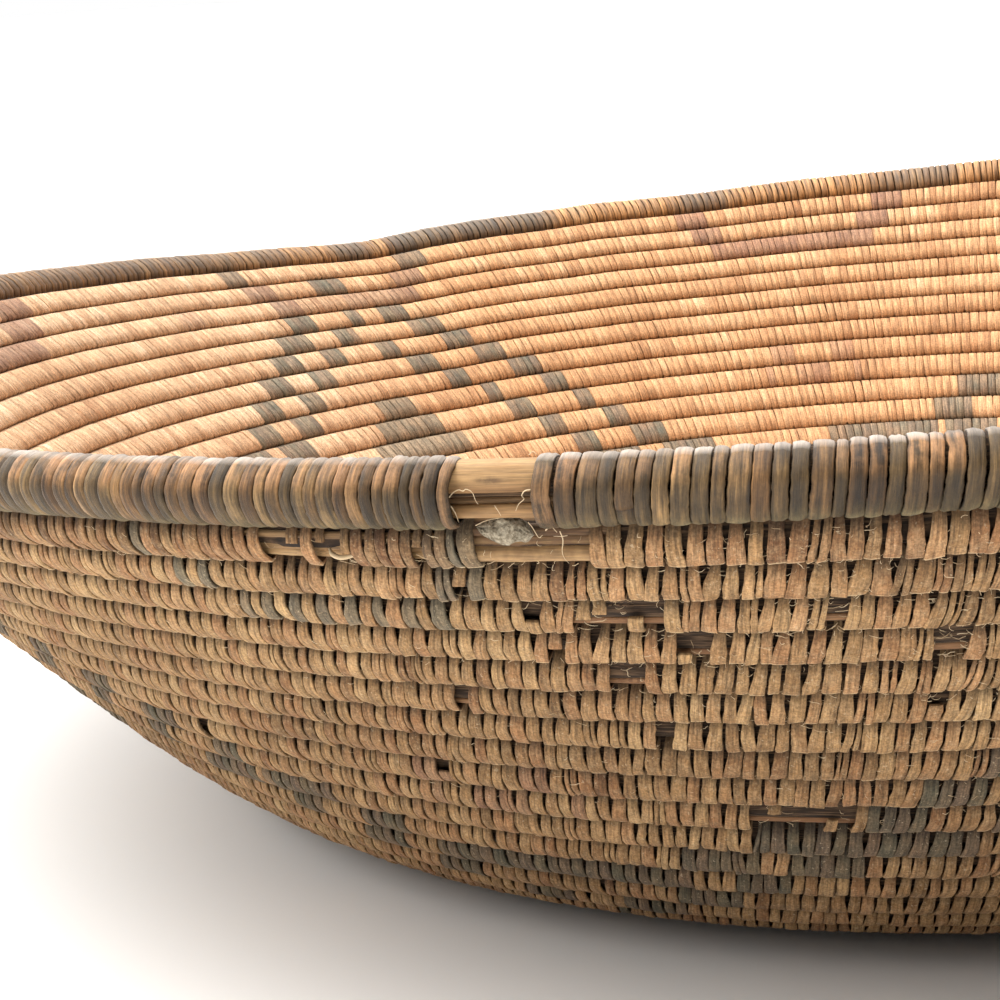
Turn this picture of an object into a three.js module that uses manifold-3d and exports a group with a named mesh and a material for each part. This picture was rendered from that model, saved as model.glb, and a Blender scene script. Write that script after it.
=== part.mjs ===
// A shallow coiled basket bowl: one coil of rods, wound from the middle of a flat base up a
// flaring wall to a bound rim. Each turn of the coil is its own solid, 0.3 mm from the next.
// Millimetres, +Z up. The origin is the middle of the underside. Angles run anticlockwise seen
// from above, and angle 0 is the -Y side, where the rim binding has its break.
import * as THREE from "three";
import { mergeVertices } from "three/addons/utils/BufferGeometryUtils.js";
import Module from "manifold-3d";

const wasm = await Module();
wasm.setup();

// ---- driving dimensions ----
const PITCH = 5.5; // height of one row of the coil, along the wall
const THICK = 6.0; // thickness of the coil through the wall
const GAP = 0.3; // clearance between neighbouring solids
const RIM_RADIUS = 30.81 * PITCH; // to the middle of the rim coil
const WALL_ARC = 18.33 * PITCH; // along the wall, from the rim coil to the flat base
const RIM_SLOPE = 0.804; // slope of the wall at the rim, radians from level
const CURVE_POWER = 7; // how late the wall turns into the base
const RIM_HALF = 0.686 * PITCH; // half height of the bound rim coil
const RIM_THICK = 5.9; // thickness of the bound rim coil
const BINDING = 0.6; // wall of the rim binding
const TURNS = 33; // turns of the body coil
const END_ANGLE = 96; // where a turn passes into the next, and the last one tapers out
const TAPER = 36; // degrees over which the coil's end tapers out under the rim
const FRONT_TURN = 0.7; // share of a turn from the coil's end round to the front
const BREAK = [-14.06, -11.25]; // the break in the rim binding, degrees
const NOTCH = [-13.99, -10.11]; // worn stitches under the break, degrees
// the lump of filler in the break: its angle, its place from the rim coil's middle, its half sizes
const FILLER = { angle: -12.5, along: -3.6, out: 2.1, half: [2.35, 1.4, 1.15] };
// The hand-made rim isn't level: a two-lobed wave and a tilt, both dying out towards the base.
const WAVE = { amp: -0.369 * PITCH, phase: 3.309 };
const TILT = { amp: 1.546 * PITCH, phase: 1.163 };
// and at the back it is bent: degrees, and how far the rim stands up there
const SWAY = [
  [120, 0], [165, 0.2], [176, 0.42], [182, 0.42], [187, 0.67], [191.5, 0.59], [196.5, 0.27],
  [200, 0.4], [204, 0.63], [207.5, 0.25], [212, 0.17], [214.5, -0.1], [216.5, -0.33],
  [218.5, -0.81], [221, -1.33], [224, -1.06], [227.5, -0.51], [231, -0.16], [235, 0.33],
  [238.5, 0.89], [242.5, 1.21], [246, 1.47], [250, 1.83], [258, 2.0], [270, 1.2], [290, 0],
];

const rad = (d) => (d * Math.PI) / 180;

// ---- the wall's curve, through the middle of the coil ----
const N_CURVE = 2000;
const curve = (() => {
  const r = [RIM_RADIUS];
  const z = [0];
  const slope = (s) => RIM_SLOPE * (1 - (s / WALL_ARC) ** CURVE_POWER);
  const ds = WALL_ARC / N_CURVE;
  for (let i = 0; i < N_CURVE; i++) {
    const a = slope((i + 0.5) * ds);
    r.push(r[i] - Math.cos(a) * ds);
    z.push(z[i] - Math.sin(a) * ds);
  }
  const foot = z[N_CURVE];
  return { r, z: z.map((v) => v - foot + THICK / 2), slope, ds };
})();
const RIM_Z = curve.z[0];
const BASE_RADIUS = curve.r[N_CURVE];
// radius, height and slope at a distance along the curve from the rim coil
function onCurve(s) {
  if (s >= WALL_ARC)
    return { r: BASE_RADIUS - (s - WALL_ARC), z: THICK / 2, a: 0 };
  if (s < 0)
    return {
      r: RIM_RADIUS - s * Math.cos(RIM_SLOPE),
      z: RIM_Z - s * Math.sin(RIM_SLOPE),
      a: RIM_SLOPE,
    };
  const f = s / curve.ds;
  const i = Math.min(Math.floor(f), N_CURVE - 1);
  const t = f - i;
  return {
    r: curve.r[i] * (1 - t) + curve.r[i + 1] * t,
    z: curve.z[i] * (1 - t) + curve.z[i + 1] * t,
    a: curve.slope(s),
  };
}

// ---- the spiral: edge k lies between turn k and turn k + 1, counted down from the rim ----
const smooth = (t) => {
  const c = Math.min(Math.max(t, 0), 1);
  return c * c * (3 - 2 * c);
};
const drift = (k) => smooth(k / 10); // 0 just under the rim, 1 from the tenth row down
// turned: degrees round from END_ANGLE, 0 to 360
function edge(k, turned) {
  const stretch = 1 - FRONT_TURN * (drift(k + 1) - drift(k));
  const step = smooth((turned - (360 - TAPER)) / TAPER);
  const g = stretch * ((1 - drift(k)) * step + (drift(k) * turned) / 360);
  return RIM_HALF + (k - FRONT_TURN * drift(k) + g) * PITCH;
}

// Round forms are built on flat-sided turns with corners every `step` degrees: this pulls a
// point between two corners onto the straight side.
function onSide(angle, step) {
  const m = ((angle % step) + step) % step;
  return Math.cos(rad(step / 2)) / Math.cos(rad(m - step / 2));
}
// a point r out and z up at an angle
function place(r, z, angle, step) {
  const q = r * onSide(angle, step);
  return new THREE.Vector3(q * Math.sin(rad(angle)), -q * Math.cos(rad(angle)), z);
}

// ---- a path with its own frames, so that a section keeps its place against the wall ----
class CoilPath extends THREE.Curve {
  constructor(stations) {
    super();
    this.stations = stations;
  }
  getPoint(t, target = new THREE.Vector3()) {
    const f = t * (this.stations.length - 1);
    const i = Math.min(Math.floor(f), this.stations.length - 2);
    return target.lerpVectors(this.stations[i].p, this.stations[i + 1].p, f - i);
  }
  getSpacedPoints() {
    return this.stations.map((s) => s.p);
  }
  computeFrenetFrames() {
    return {
      tangents: this.stations.map((s) => s.t),
      normals: this.stations.map((s) => s.n),
      binormals: this.stations.map((s) => s.b),
    };
  }
}
// A station: the section's x axis points up the slope, its y axis out of the wall.
function station(angle, middle, a, wide, step, end = 0) {
  const out = new THREE.Vector3(Math.sin(rad(angle)), -Math.cos(rad(angle)), 0);
  const t = new THREE.Vector3(Math.cos(rad(angle)), Math.sin(rad(angle)), 0);
  const up = new THREE.Vector3(0, 0, 1);
  const k = onSide(angle, step);
  const n = out.clone().multiplyScalar(Math.cos(a) * k).addScaledVector(up, Math.sin(a));
  const b = out.clone().multiplyScalar(Math.sin(a) * k).addScaledVector(up, -Math.cos(a));
  return {
    p: place(middle.r, middle.z, angle, step).addScaledVector(t, end),
    t,
    n: n.multiplyScalar(wide),
    b,
  };
}
function sweep(stations, points, hole) {
  const shape = new THREE.Shape(points.map((p) => new THREE.Vector2(p[0], p[1])));
  if (hole)
    shape.holes.push(
      new THREE.Path(hole.map((p) => new THREE.Vector2(p[0], p[1])).reverse()),
    );
  return new THREE.ExtrudeGeometry(shape, {
    steps: stations.length - 1,
    curveSegments: 1,
    extrudePath: new CoilPath(stations),
  });
}
// corner angles from one angle to another, with both ends
function corners(from, to, step) {
  const list = [from];
  for (let i = Math.floor(from / step) + 1; i * step < to - 1e-6; i++)
    list.push(i * step);
  list.push(to);
  return list;
}

function sway(angle) {
  const d = (angle + 720) % 360;
  for (let i = 1; i < SWAY.length; i++) {
    const [a, u] = SWAY[i - 1];
    const [b, v] = SWAY[i];
    if (d >= a && d < b) return u + ((v - u) * (d - a)) / (b - a);
  }
  return 0;
}
// The rim's wave, tilt and sway, put on finished geometry.
function unlevel(geometry) {
  const p = geometry.getAttribute("position");
  for (let i = 0; i < p.count; i++) {
    const th = Math.atan2(p.getX(i), -p.getY(i));
    const z = p.getZ(i);
    const wave = WAVE.amp * Math.cos(2 * (th - WAVE.phase));
    const tilt = TILT.amp * Math.cos(th - TILT.phase);
    const lift = wave + tilt + sway((th * 180) / Math.PI);
    p.setZ(i, z + (Math.max(z - THICK, 0) / (RIM_Z - THICK)) ** 2 * lift);
  }
  geometry.computeVertexNormals();
  return geometry;
}

// ---- booleans ----
function solid(geometry) {
  const g = new THREE.BufferGeometry();
  const flat = geometry.index ? geometry.toNonIndexed() : geometry;
  g.setAttribute("position", flat.getAttribute("position").clone());
  const m = mergeVertices(g, 1e-3);
  return new wasm.Manifold(
    new wasm.Mesh({
      numProp: 3,
      vertProperties: new Float32Array(m.attributes.position.array),
      triVerts: new Uint32Array(m.index.array),
    }),
  );
}
function geometryOf(made) {
  const m = made.getMesh();
  const g = new THREE.BufferGeometry();
  const v = new Float32Array(m.numVert * 3);
  for (let i = 0; i < m.numVert; i++)
    for (let j = 0; j < 3; j++) v[i * 3 + j] = m.vertProperties[i * m.numProp + j];
  g.setAttribute("position", new THREE.BufferAttribute(v, 3));
  g.setIndex(new THREE.BufferAttribute(new Uint32Array(m.triVerts), 1));
  g.computeVertexNormals();
  return g;
}

// ---- materials ----
const splint = new THREE.MeshStandardMaterial({ color: 0xa07b56, roughness: 0.85, metalness: 0 });
const splintAlt = new THREE.MeshStandardMaterial({ color: 0x927050, roughness: 0.85, metalness: 0 });
const darkSplint = new THREE.MeshStandardMaterial({ color: 0x4e3a2e, roughness: 0.55, metalness: 0 });
const bareRod = new THREE.MeshStandardMaterial({ color: 0xc9a06c, roughness: 0.7, metalness: 0 });
const filler = new THREE.MeshStandardMaterial({ color: 0x8f8a82, roughness: 0.9, metalness: 0 });

const basket = new THREE.Group();
function add(name, geometry, material) {
  const mesh = new THREE.Mesh(geometry, material);
  mesh.name = name;
  basket.add(mesh);
  return mesh;
}

// ---- body coil ----
const H = THICK / 2;
const coilSection = [
  [0.5, 0],
  [0.3, H],
  [-0.3, H],
  [-0.5, 0],
  [-0.3, -H],
  [0.3, -H],
];
// turn k, counted down from the rim, as a solid
function turn(k) {
  const inner = edge(k, 180);
  const step = WALL_ARC + BASE_RADIUS - inner < 26 ? 24 : 12;
  const first = k === 1 ? -24 : 0; // the top turn's tapered end lies under the rim
  const stations = [];
  for (let d = first; d <= 360; d += step) {
    let upper;
    let lower;
    if (d < 0) {
      upper = RIM_HALF;
      lower = edge(0, 360 + d);
    } else {
      upper = edge(k - 1, d);
      lower = edge(k, d);
    }
    const a = onCurve(upper);
    const b = onCurve(lower);
    const wide = Math.hypot(a.r - b.r, a.z - b.z);
    const middle = { r: (a.r + b.r) / 2, z: (a.z + b.z) / 2 };
    const slope = Math.atan2(a.z - b.z, a.r - b.r);
    const end = d === first ? GAP / 2 : d === 360 ? -GAP / 2 : 0;
    stations.push(station(END_ANGLE + d, middle, slope, wide - GAP, step, end));
  }
  return sweep(stations, coilSection);
}

// the bare rod in the worn row, and the notch that shows it
const notchRow = onCurve((edge(0, 0) + edge(1, 0)) / 2);
function rowStations(from, to) {
  return corners(from, to, 12).map((d) => station(d, notchRow, notchRow.a, 1, 12));
}
const notchTool = sweep(rowStations(NOTCH[0], NOTCH[1]), [
  [4, 0.4],
  [4, 6],
  [-2.75, 6],
  [-2.75, 0.4],
]);
const ring = (x, y, r, sides) =>
  Array.from({ length: sides }, (_, i) => {
    const t = ((i + 0.5) / sides) * 2 * Math.PI;
    return [x + r * Math.cos(t), y + r * Math.sin(t)];
  });
const wornRod = (grow) =>
  sweep(
    rowStations(NOTCH[0] + 0.12 - grow / 8, NOTCH[1] - 0.12 + grow / 8),
    ring(-1.0, 1.75, 1.1 + grow, 8),
  );

for (let k = TURNS; k >= 1; k--) {
  const name = "coil_" + String(TURNS + 1 - k).padStart(2, "0");
  let g = turn(k);
  if (k === 1) g = geometryOf(solid(g).subtract(solid(notchTool)));
  add(name, unlevel(g), k % 2 ? splint : splintAlt);
}

// ---- start of the coil, in the middle of the base ----
{
  const points = [];
  for (let d = 0; d <= 360; d += 24) {
    const r = (WALL_ARC + BASE_RADIUS - edge(TURNS, d) - GAP) * onSide(END_ANGLE + d, 24);
    const t = rad(END_ANGLE + d);
    const on = d === 0 || d === 360 ? GAP / 2 / r : 0;
    points.push(new THREE.Vector2(r * Math.sin(t + on), -r * Math.cos(t + on)));
  }
  const g = new THREE.ExtrudeGeometry(new THREE.Shape(points), {
    depth: THICK - 0.6,
    bevelEnabled: false,
    curveSegments: 1,
  });
  add("center_start", g, splintAlt);
}

// ---- rim: three rods in a binding that is broken at the front ----
const rimMiddle = { r: RIM_RADIUS, z: RIM_Z };
const oval = (x, y) =>
  Array.from({ length: 8 }, (_, i) => {
    const t = ((i + 0.5) / 8) * 2 * Math.PI;
    const k = 1 / Math.cos(Math.PI / 8);
    return [x * k * Math.cos(t), y * k * Math.sin(t)];
  });
{
  const across = RIM_HALF - GAP / 2;
  const deep = RIM_THICK / 2;
  const stations = corners(BREAK[1], BREAK[0] + 360, 12).map((d) =>
    station(d, rimMiddle, RIM_SLOPE, 1, 12),
  );
  add(
    "rim_binding",
    unlevel(sweep(stations, oval(across, deep), oval(across - BINDING, deep - BINDING))),
    darkSplint,
  );
}
// a closed ring of round rod inside the rim
function rimRod(x, y, radius) {
  const profile = ring(x, y, radius, 8).map(
    ([u, v]) =>
      new THREE.Vector2(
        RIM_RADIUS + u * Math.cos(RIM_SLOPE) + v * Math.sin(RIM_SLOPE),
        RIM_Z + u * Math.sin(RIM_SLOPE) - v * Math.cos(RIM_SLOPE),
      ),
  );
  profile.reverse();
  profile.push(profile[0].clone());
  const g = new THREE.LatheGeometry(profile, 30);
  g.rotateX(Math.PI / 2);
  return g;
}
// up the slope, out of the wall, radius
const RODS = {
  rim_rod_top: [1.1, -0.35, 1.3],
  rim_rod_outer: [-1.55, 1.1, 0.82],
  rim_rod_inner: [-1.5, -0.85, 0.82],
};
for (const [name, [x, y, radius]] of Object.entries(RODS))
  add(name, unlevel(rimRod(x, y, radius)), bareRod);

add("worn_row_rod", unlevel(wornRod(0)), bareRod);

// ---- grey filler lump under the break ----
{
  const g = new THREE.SphereGeometry(1, 12, 8);
  const at = station(FILLER.angle, rimMiddle, RIM_SLOPE, 1, 12);
  const p = g.getAttribute("position");
  const upAxis = at.n.clone().multiplyScalar(0.59).addScaledVector(at.b, -0.81).normalize();
  const outAxis = at.n.clone().multiplyScalar(0.81).addScaledVector(at.b, 0.59).normalize();
  for (let i = 0; i < p.count; i++) {
    const v = new THREE.Vector3(p.getX(i), p.getY(i), p.getZ(i));
    const lump = 1 + 0.08 * Math.sin(5 * v.x + 2 * v.y) + 0.06 * Math.cos(4 * v.z - 3 * v.x);
    const q = at.p
      .clone()
      .addScaledVector(at.n, FILLER.along)
      .addScaledVector(at.b, FILLER.out)
      .addScaledVector(at.t, -FILLER.half[0] * v.x * lump)
      .addScaledVector(upAxis, FILLER.half[1] * v.z * lump)
      .addScaledVector(outAxis, FILLER.half[2] * v.y * lump);
    p.setXYZ(i, q.x, q.y, q.z);
  }
  let made = solid(g);
  if (made.volume() < 0) throw new Error("the lump is inside out");
  made = made.subtract(solid(wornRod(GAP)));
  for (const [x, y, radius] of Object.values(RODS))
    made = made.subtract(solid(rimRod(x, y, radius + GAP)));
  const bodies = made.decompose().sort((a, b) => b.volume() - a.volume());
  add("repair_filler", unlevel(geometryOf(bodies[0])), filler);
}

export default basket;
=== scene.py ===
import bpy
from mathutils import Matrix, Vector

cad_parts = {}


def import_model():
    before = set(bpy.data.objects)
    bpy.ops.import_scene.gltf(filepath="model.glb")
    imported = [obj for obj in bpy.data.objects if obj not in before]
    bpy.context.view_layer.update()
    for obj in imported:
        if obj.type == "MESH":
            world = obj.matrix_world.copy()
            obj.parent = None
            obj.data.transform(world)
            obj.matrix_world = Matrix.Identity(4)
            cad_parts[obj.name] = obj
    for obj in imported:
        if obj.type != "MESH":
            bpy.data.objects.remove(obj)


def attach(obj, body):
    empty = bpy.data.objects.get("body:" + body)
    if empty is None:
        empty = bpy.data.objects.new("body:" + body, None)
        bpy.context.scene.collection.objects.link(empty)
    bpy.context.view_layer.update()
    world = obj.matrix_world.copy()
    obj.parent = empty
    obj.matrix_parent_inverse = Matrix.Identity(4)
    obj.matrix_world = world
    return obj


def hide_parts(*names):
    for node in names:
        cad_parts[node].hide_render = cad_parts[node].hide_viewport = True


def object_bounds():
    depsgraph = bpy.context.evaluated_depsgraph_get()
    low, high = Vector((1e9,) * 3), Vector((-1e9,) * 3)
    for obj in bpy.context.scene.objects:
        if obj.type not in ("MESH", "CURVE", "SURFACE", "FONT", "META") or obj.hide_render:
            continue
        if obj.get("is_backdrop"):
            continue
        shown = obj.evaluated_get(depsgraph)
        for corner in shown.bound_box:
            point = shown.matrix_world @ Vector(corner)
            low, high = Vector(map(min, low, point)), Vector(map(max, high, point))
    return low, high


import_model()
CAD_BOX = [list(corner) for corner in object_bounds()]

import math

import bpy
import numpy as np
from mathutils import Matrix, Vector

rng = np.random.default_rng(20)
MM = 0.001
DOME = (4.65, 1.64, 5.15, 1.6)  # light from above, from the left, high left, and behind (shine)

# ------------------------------------------------------------------ the bowl's shape, as in the CAD
PITCH = 5.5
THICK = 6.0
RIM_RADIUS = 30.81 * PITCH
WALL_ARC = 18.33 * PITCH
RIM_SLOPE = 0.804
CURVE_POWER = 7
RIM_HALF = 0.686 * PITCH
TURNS = 33
END_ANGLE = 96.0
TAPER = 36.0
FRONT_TURN = 0.7
WAVE_AMP, WAVE_PHASE = -0.369 * PITCH, 3.309
TILT_AMP, TILT_PHASE = 1.546 * PITCH, 1.163
BREAK = (-14.06, -11.25)
SWAY = [
    (120, 0), (165, 0.2), (176, 0.42), (182, 0.42), (187, 0.67), (191.5, 0.59), (196.5, 0.27), (200, 0.4),
    (204, 0.63), (207.5, 0.25), (212, 0.17), (214.5, -0.1), (216.5, -0.33), (218.5, -0.81), (221, -1.33),
    (224, -1.06), (227.5, -0.51), (231, -0.16), (235, 0.33), (238.5, 0.89), (242.5, 1.21), (246, 1.47),
    (250, 1.83), (258, 2.0), (270, 1.2), (290, 0),
]

N_CURVE = 2000
_ds = WALL_ARC / N_CURVE
_mid = (np.arange(N_CURVE) + 0.5) * _ds
_slope = RIM_SLOPE * (1 - (_mid / WALL_ARC) ** CURVE_POWER)
_arc = np.arange(N_CURVE + 1) * _ds
_r = RIM_RADIUS - np.concatenate([[0], np.cumsum(np.cos(_slope) * _ds)])
_z = -np.concatenate([[0], np.cumsum(np.sin(_slope) * _ds)])
_z = _z - _z[-1] + THICK / 2
RIM_Z = float(_z[0])
BASE_RADIUS = float(_r[-1])


def on_curve(s):
    """Radius and height of the middle of the wall at an arc distance from the rim coil."""
    s = np.asarray(s, float)
    r = np.where(s < WALL_ARC, np.interp(s, _arc, _r), BASE_RADIUS - (s - WALL_ARC))
    z = np.where(s < WALL_ARC, np.interp(s, _arc, _z), THICK / 2)
    up = s < 0
    return (
        np.where(up, RIM_RADIUS - s * math.cos(RIM_SLOPE), r),
        np.where(up, RIM_Z - s * math.sin(RIM_SLOPE), z),
    )


def smooth(t):
    c = np.clip(t, 0, 1)
    return c * c * (3 - 2 * c)


def upper(phi):
    """Arc distance of the coil's upper edge. phi: degrees run along the coil from END_ANGLE."""
    phi = np.asarray(phi, float)
    k = np.floor(np.maximum(phi, 0) / 360)
    turned = np.maximum(phi, 0) - 360 * k
    d0, d1 = smooth(k / 10), smooth((k + 1) / 10)
    stretch = 1 - FRONT_TURN * (d1 - d0)
    step = smooth((turned - (360 - TAPER)) / TAPER)
    g = stretch * ((1 - d0) * step + d0 * turned / 360)
    return np.where(phi < 0, RIM_HALF, RIM_HALF + (k - FRONT_TURN * d0 + g) * PITCH)


def coil(phi):
    """Section frames of the body coil: radius, height, slope, width along the wall, arc, angle."""
    u, v = upper(phi), upper(np.asarray(phi) + 360)
    ru, zu = on_curve(u)
    rv, zv = on_curve(v)
    return dict(
        r=(ru + rv) / 2,
        z=(zu + zv) / 2,
        a=np.arctan2(zu - zv, ru - rv),
        wide=np.hypot(ru - rv, zu - zv),
        s=(u + v) / 2 / PITCH,
        th=END_ANGLE + np.asarray(phi, float),
    )


def rim(theta):
    theta = np.asarray(theta, float)
    one = np.ones_like(theta)
    return dict(
        r=RIM_RADIUS * one, z=RIM_Z * one, a=RIM_SLOPE * one, wide=2 * RIM_HALF * one,
        s=0 * one, th=theta,
    )


def row_phi(k, theta):
    """phi of row k (1 under the rim) at an angle."""
    return (np.asarray(theta, float) - END_ANGLE) % 360 + 360 * (k - 1)


_sway_at = np.arange(0, 360.25, 0.25)
_sway = np.interp(_sway_at, *zip(*SWAY), left=0, right=0)
_sway = np.convolve(np.pad(_sway, 4, mode="edge"), np.hanning(11)[1:-1] / np.hanning(11).sum(), "valid")


def unlevel(z, th):
    w = WAVE_AMP * np.cos(2 * (th - WAVE_PHASE)) + TILT_AMP * np.cos(th - TILT_PHASE)
    w = w + np.interp(np.degrees(th) % 360, _sway_at, _sway)
    return z + (np.maximum(z - THICK, 0) / (RIM_Z - THICK)) ** 2 * w


def world(f, x, y, t=0.0):
    """Section point (x up the wall, y out of it, t along the coil) to the row frame."""
    def b(v):
        v = np.asarray(v, float)
        while v.ndim < np.ndim(x):
            v = v[..., None]
        return v
    a, r0, z0, th = b(f["a"]), b(f["r"]), b(f["z"]), np.radians(b(f["th"]))
    r = r0 + x * np.cos(a) + y * np.sin(a)
    z = z0 + x * np.sin(a) - y * np.cos(a)
    th = th + t / np.maximum(r, 2.5)
    z = np.maximum(unlevel(z, th), 0.0)
    return np.stack([r * np.sin(th), -r * np.cos(th), z], -1)


# ------------------------------------------------------------------ helpers
def noise3(p, seed=0):
    """Smooth value noise in -1..1."""
    p = np.asarray(p, float)
    i = np.floor(p).astype(np.int64)
    f = p - i
    f = f * f * (3 - 2 * f)
    out = 0
    for dx in (0, 1):
        for dy in (0, 1):
            for dz in (0, 1):
                h = (
                    (i[..., 0] + dx) * 73856093
                    ^ (i[..., 1] + dy) * 19349663
                    ^ (i[..., 2] + dz) * 83492791
                    ^ (seed * 2654435761)
                )
                h = (h ^ (h >> 13)) * 1274126177
                h = (h ^ (h >> 16)) & 0xFFFFFF
                v = h / float(0xFFFFFF) * 2 - 1
                wx = f[..., 0] if dx else 1 - f[..., 0]
                wy = f[..., 1] if dy else 1 - f[..., 1]
                wz = f[..., 2] if dz else 1 - f[..., 2]
                out = out + v * wx * wy * wz
    return out


def noise_at(seed, *axes):
    return noise3(np.stack(np.broadcast_arrays(*axes), -1), seed)


def spline(points, n=24):
    """A closed Catmull-Rom curve through points, n samples a span, with the control number."""
    p = np.asarray(points, float)
    m = len(p)
    out, idx = [], []
    for i in range(m):
        a, b, c, d = p[i - 1], p[i], p[(i + 1) % m], p[(i + 2) % m]
        t = np.arange(n)[:, None] / n
        out.append(
            0.5 * (2 * b + (c - a) * t + (2 * a - 5 * b + 4 * c - d) * t * t
                   + (3 * b - a - 3 * c + d) * t ** 3)
        )
        idx.append(i + np.arange(n) / n)
    return np.concatenate(out), np.concatenate(idx)


class Build:
    """Collects quads and end caps, then makes one mesh with its attributes."""

    def __init__(self):
        self.co, self.loops, self.sizes, self.smooth = [], [], [], []
        self.uv, self.bake, self.st, self.ed = [], [], [], []
        self.n = 0
        self.cells = 0

    def grid(self, co, uv_u, uv_v, st, ed, flat=(), closed=True, cap=True, fold=()):
        """co: (N, M, Q, 3), each of N bodies a loft of M stations of Q points round the section.
        uv_u: (N, M, Q + 1) across; uv_v: (N, M + 1) along; st, ed: (N, M, Q, 4)."""
        N, M, Q, _ = co.shape
        if N == 0:
            return
        base = self.n
        ids = (np.arange(N * M * Q) + base).reshape(N, M, Q)
        nxt = np.roll(ids, -1, 1) if closed else ids[:, 1:]
        cur = ids if closed else ids[:, :-1]
        K = cur.shape[1]
        q = np.stack(
            [cur, nxt, np.roll(nxt, -1, 2), np.roll(cur, -1, 2)], -1
        )  # N, K, Q, 4
        self.co.append(co.reshape(-1, 3))
        self.st.append(st.reshape(-1, 4))
        self.ed.append(ed.reshape(-1, 4))
        self.loops.append(q.reshape(-1))
        self.sizes.append(np.full(N * K * Q, 4))
        sm = np.ones((N, K, Q), bool)
        for j in flat:
            sm[:, :, j] = False
        for j in fold:
            sm[:, j, :] = False
        self.smooth.append(sm.reshape(-1))
        u0 = uv_u[:, :K, :]
        u1 = uv_u[:, (np.arange(K) + 1) % M, :]
        v0 = np.broadcast_to(uv_v[:, :K, None], (N, K, Q))
        v1 = np.broadcast_to(uv_v[:, 1:K + 1, None], (N, K, Q))
        uv = np.stack(
            [
                np.stack([u0[..., :-1], v0], -1),
                np.stack([u1[..., :-1], v1], -1),
                np.stack([u1[..., 1:], v1], -1),
                np.stack([u0[..., 1:], v0], -1),
            ],
            -2,
        )
        self.uv.append(uv.reshape(-1, 2))
        # island of each body: its number, and its own 0..1 square
        lenq = np.concatenate([[0], np.cumsum(np.full(Q, 1.0 / Q))])
        iu = np.broadcast_to(lenq, (N, K, Q + 1))
        L = uv_v[:, K] - uv_v[:, 0]
        iv = (uv_v - uv_v[:, :1]) / np.maximum(L, 1e-6)[:, None]
        a0 = np.broadcast_to(iv[:, :K, None], (N, K, Q))
        a1 = np.broadcast_to(iv[:, 1:K + 1, None], (N, K, Q))
        b = np.stack(
            [
                np.stack([iu[..., :-1], a0], -1),
                np.stack([iu[..., :-1], a1], -1),
                np.stack([iu[..., 1:], a1], -1),
                np.stack([iu[..., 1:], a0], -1),
            ],
            -2,
        )
        cell = np.broadcast_to(
            (self.cells + np.arange(N))[:, None, None, None], (N, K, Q, 4)
        )
        self.bake.append(np.concatenate([b, cell[..., None]], -1).reshape(-1, 3))
        self.cells += N
        if not closed and cap:
            for end, order in ((0, slice(None)), (M - 1, slice(None, None, -1))):
                c = ids[:, end, :][:, order]
                self.loops.append(c.reshape(-1))
                self.sizes.append(np.full(N, Q))
                self.smooth.append(np.zeros(N, bool))
                uu = uv_u[:, end, :Q][:, order]
                vv = np.broadcast_to(uv_v[:, end:end + 1], (N, Q))
                self.uv.append(np.stack([uu, vv], -1).reshape(-1, 2))
                e = 0.0 if end == 0 else 1.0
                bb = np.stack(
                    [np.broadcast_to(lenq[:Q][order], (N, Q)), np.full((N, Q), e),
                     np.broadcast_to((self.cells - N + np.arange(N))[:, None], (N, Q))], -1
                )
                self.bake.append(bb.reshape(-1, 3))
        self.n += N * M * Q

    def make(self, name, material, replaces=(), tall=8.0):
        co = np.concatenate(self.co) * MM
        loops = np.concatenate(self.loops).astype(np.int32)
        sizes = np.concatenate(self.sizes).astype(np.int32)
        starts = np.concatenate([[0], np.cumsum(sizes)[:-1]]).astype(np.int32)
        me = bpy.data.meshes.new(name)
        me.vertices.add(len(co))
        me.vertices.foreach_set("co", co.astype(np.float32).ravel())
        me.loops.add(len(loops))
        me.loops.foreach_set("vertex_index", loops)
        me.polygons.add(len(sizes))
        me.polygons.foreach_set("loop_start", starts)
        me.update(calc_edges=True)
        me.polygons.foreach_set("use_smooth", np.concatenate(self.smooth))
        # islands in a grid, each `tall` times as high as wide
        cols = max(1, int(math.ceil(math.sqrt(self.cells * tall))))
        rows = int(math.ceil(self.cells / cols))
        b = np.concatenate(self.bake)
        cu, cv = b[:, 2] % cols, b[:, 2] // cols
        m = 0.06
        ou = (cu + m + b[:, 0] * (1 - 2 * m)) / cols
        ov = (cv + m * 0.4 + b[:, 1] * (1 - 0.8 * m)) / rows
        lay = me.uv_layers.new(name="OFBake")
        lay.data.foreach_set("uv", np.stack([ou, ov], -1).astype(np.float32).ravel())
        lay = me.uv_layers.new(name="grain")
        lay.data.foreach_set("uv", np.concatenate(self.uv).astype(np.float32).ravel())
        for key, data in (("st", self.st), ("ed", self.ed)):
            at = me.attributes.new(key, "FLOAT_COLOR", "POINT")
            at.data.foreach_set("color", np.concatenate(data).astype(np.float32).ravel())
        me.update()
        ob = bpy.data.objects.new(name, me)
        bpy.context.scene.collection.objects.link(ob)
        me.materials.append(material)
        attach(ob, "root")
        if replaces:
            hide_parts(*replaces)
        return ob


def four(a, b, c, d, shape):
    return np.stack([np.broadcast_to(np.asarray(v, float), shape) for v in (a, b, c, d)], -1)


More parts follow.
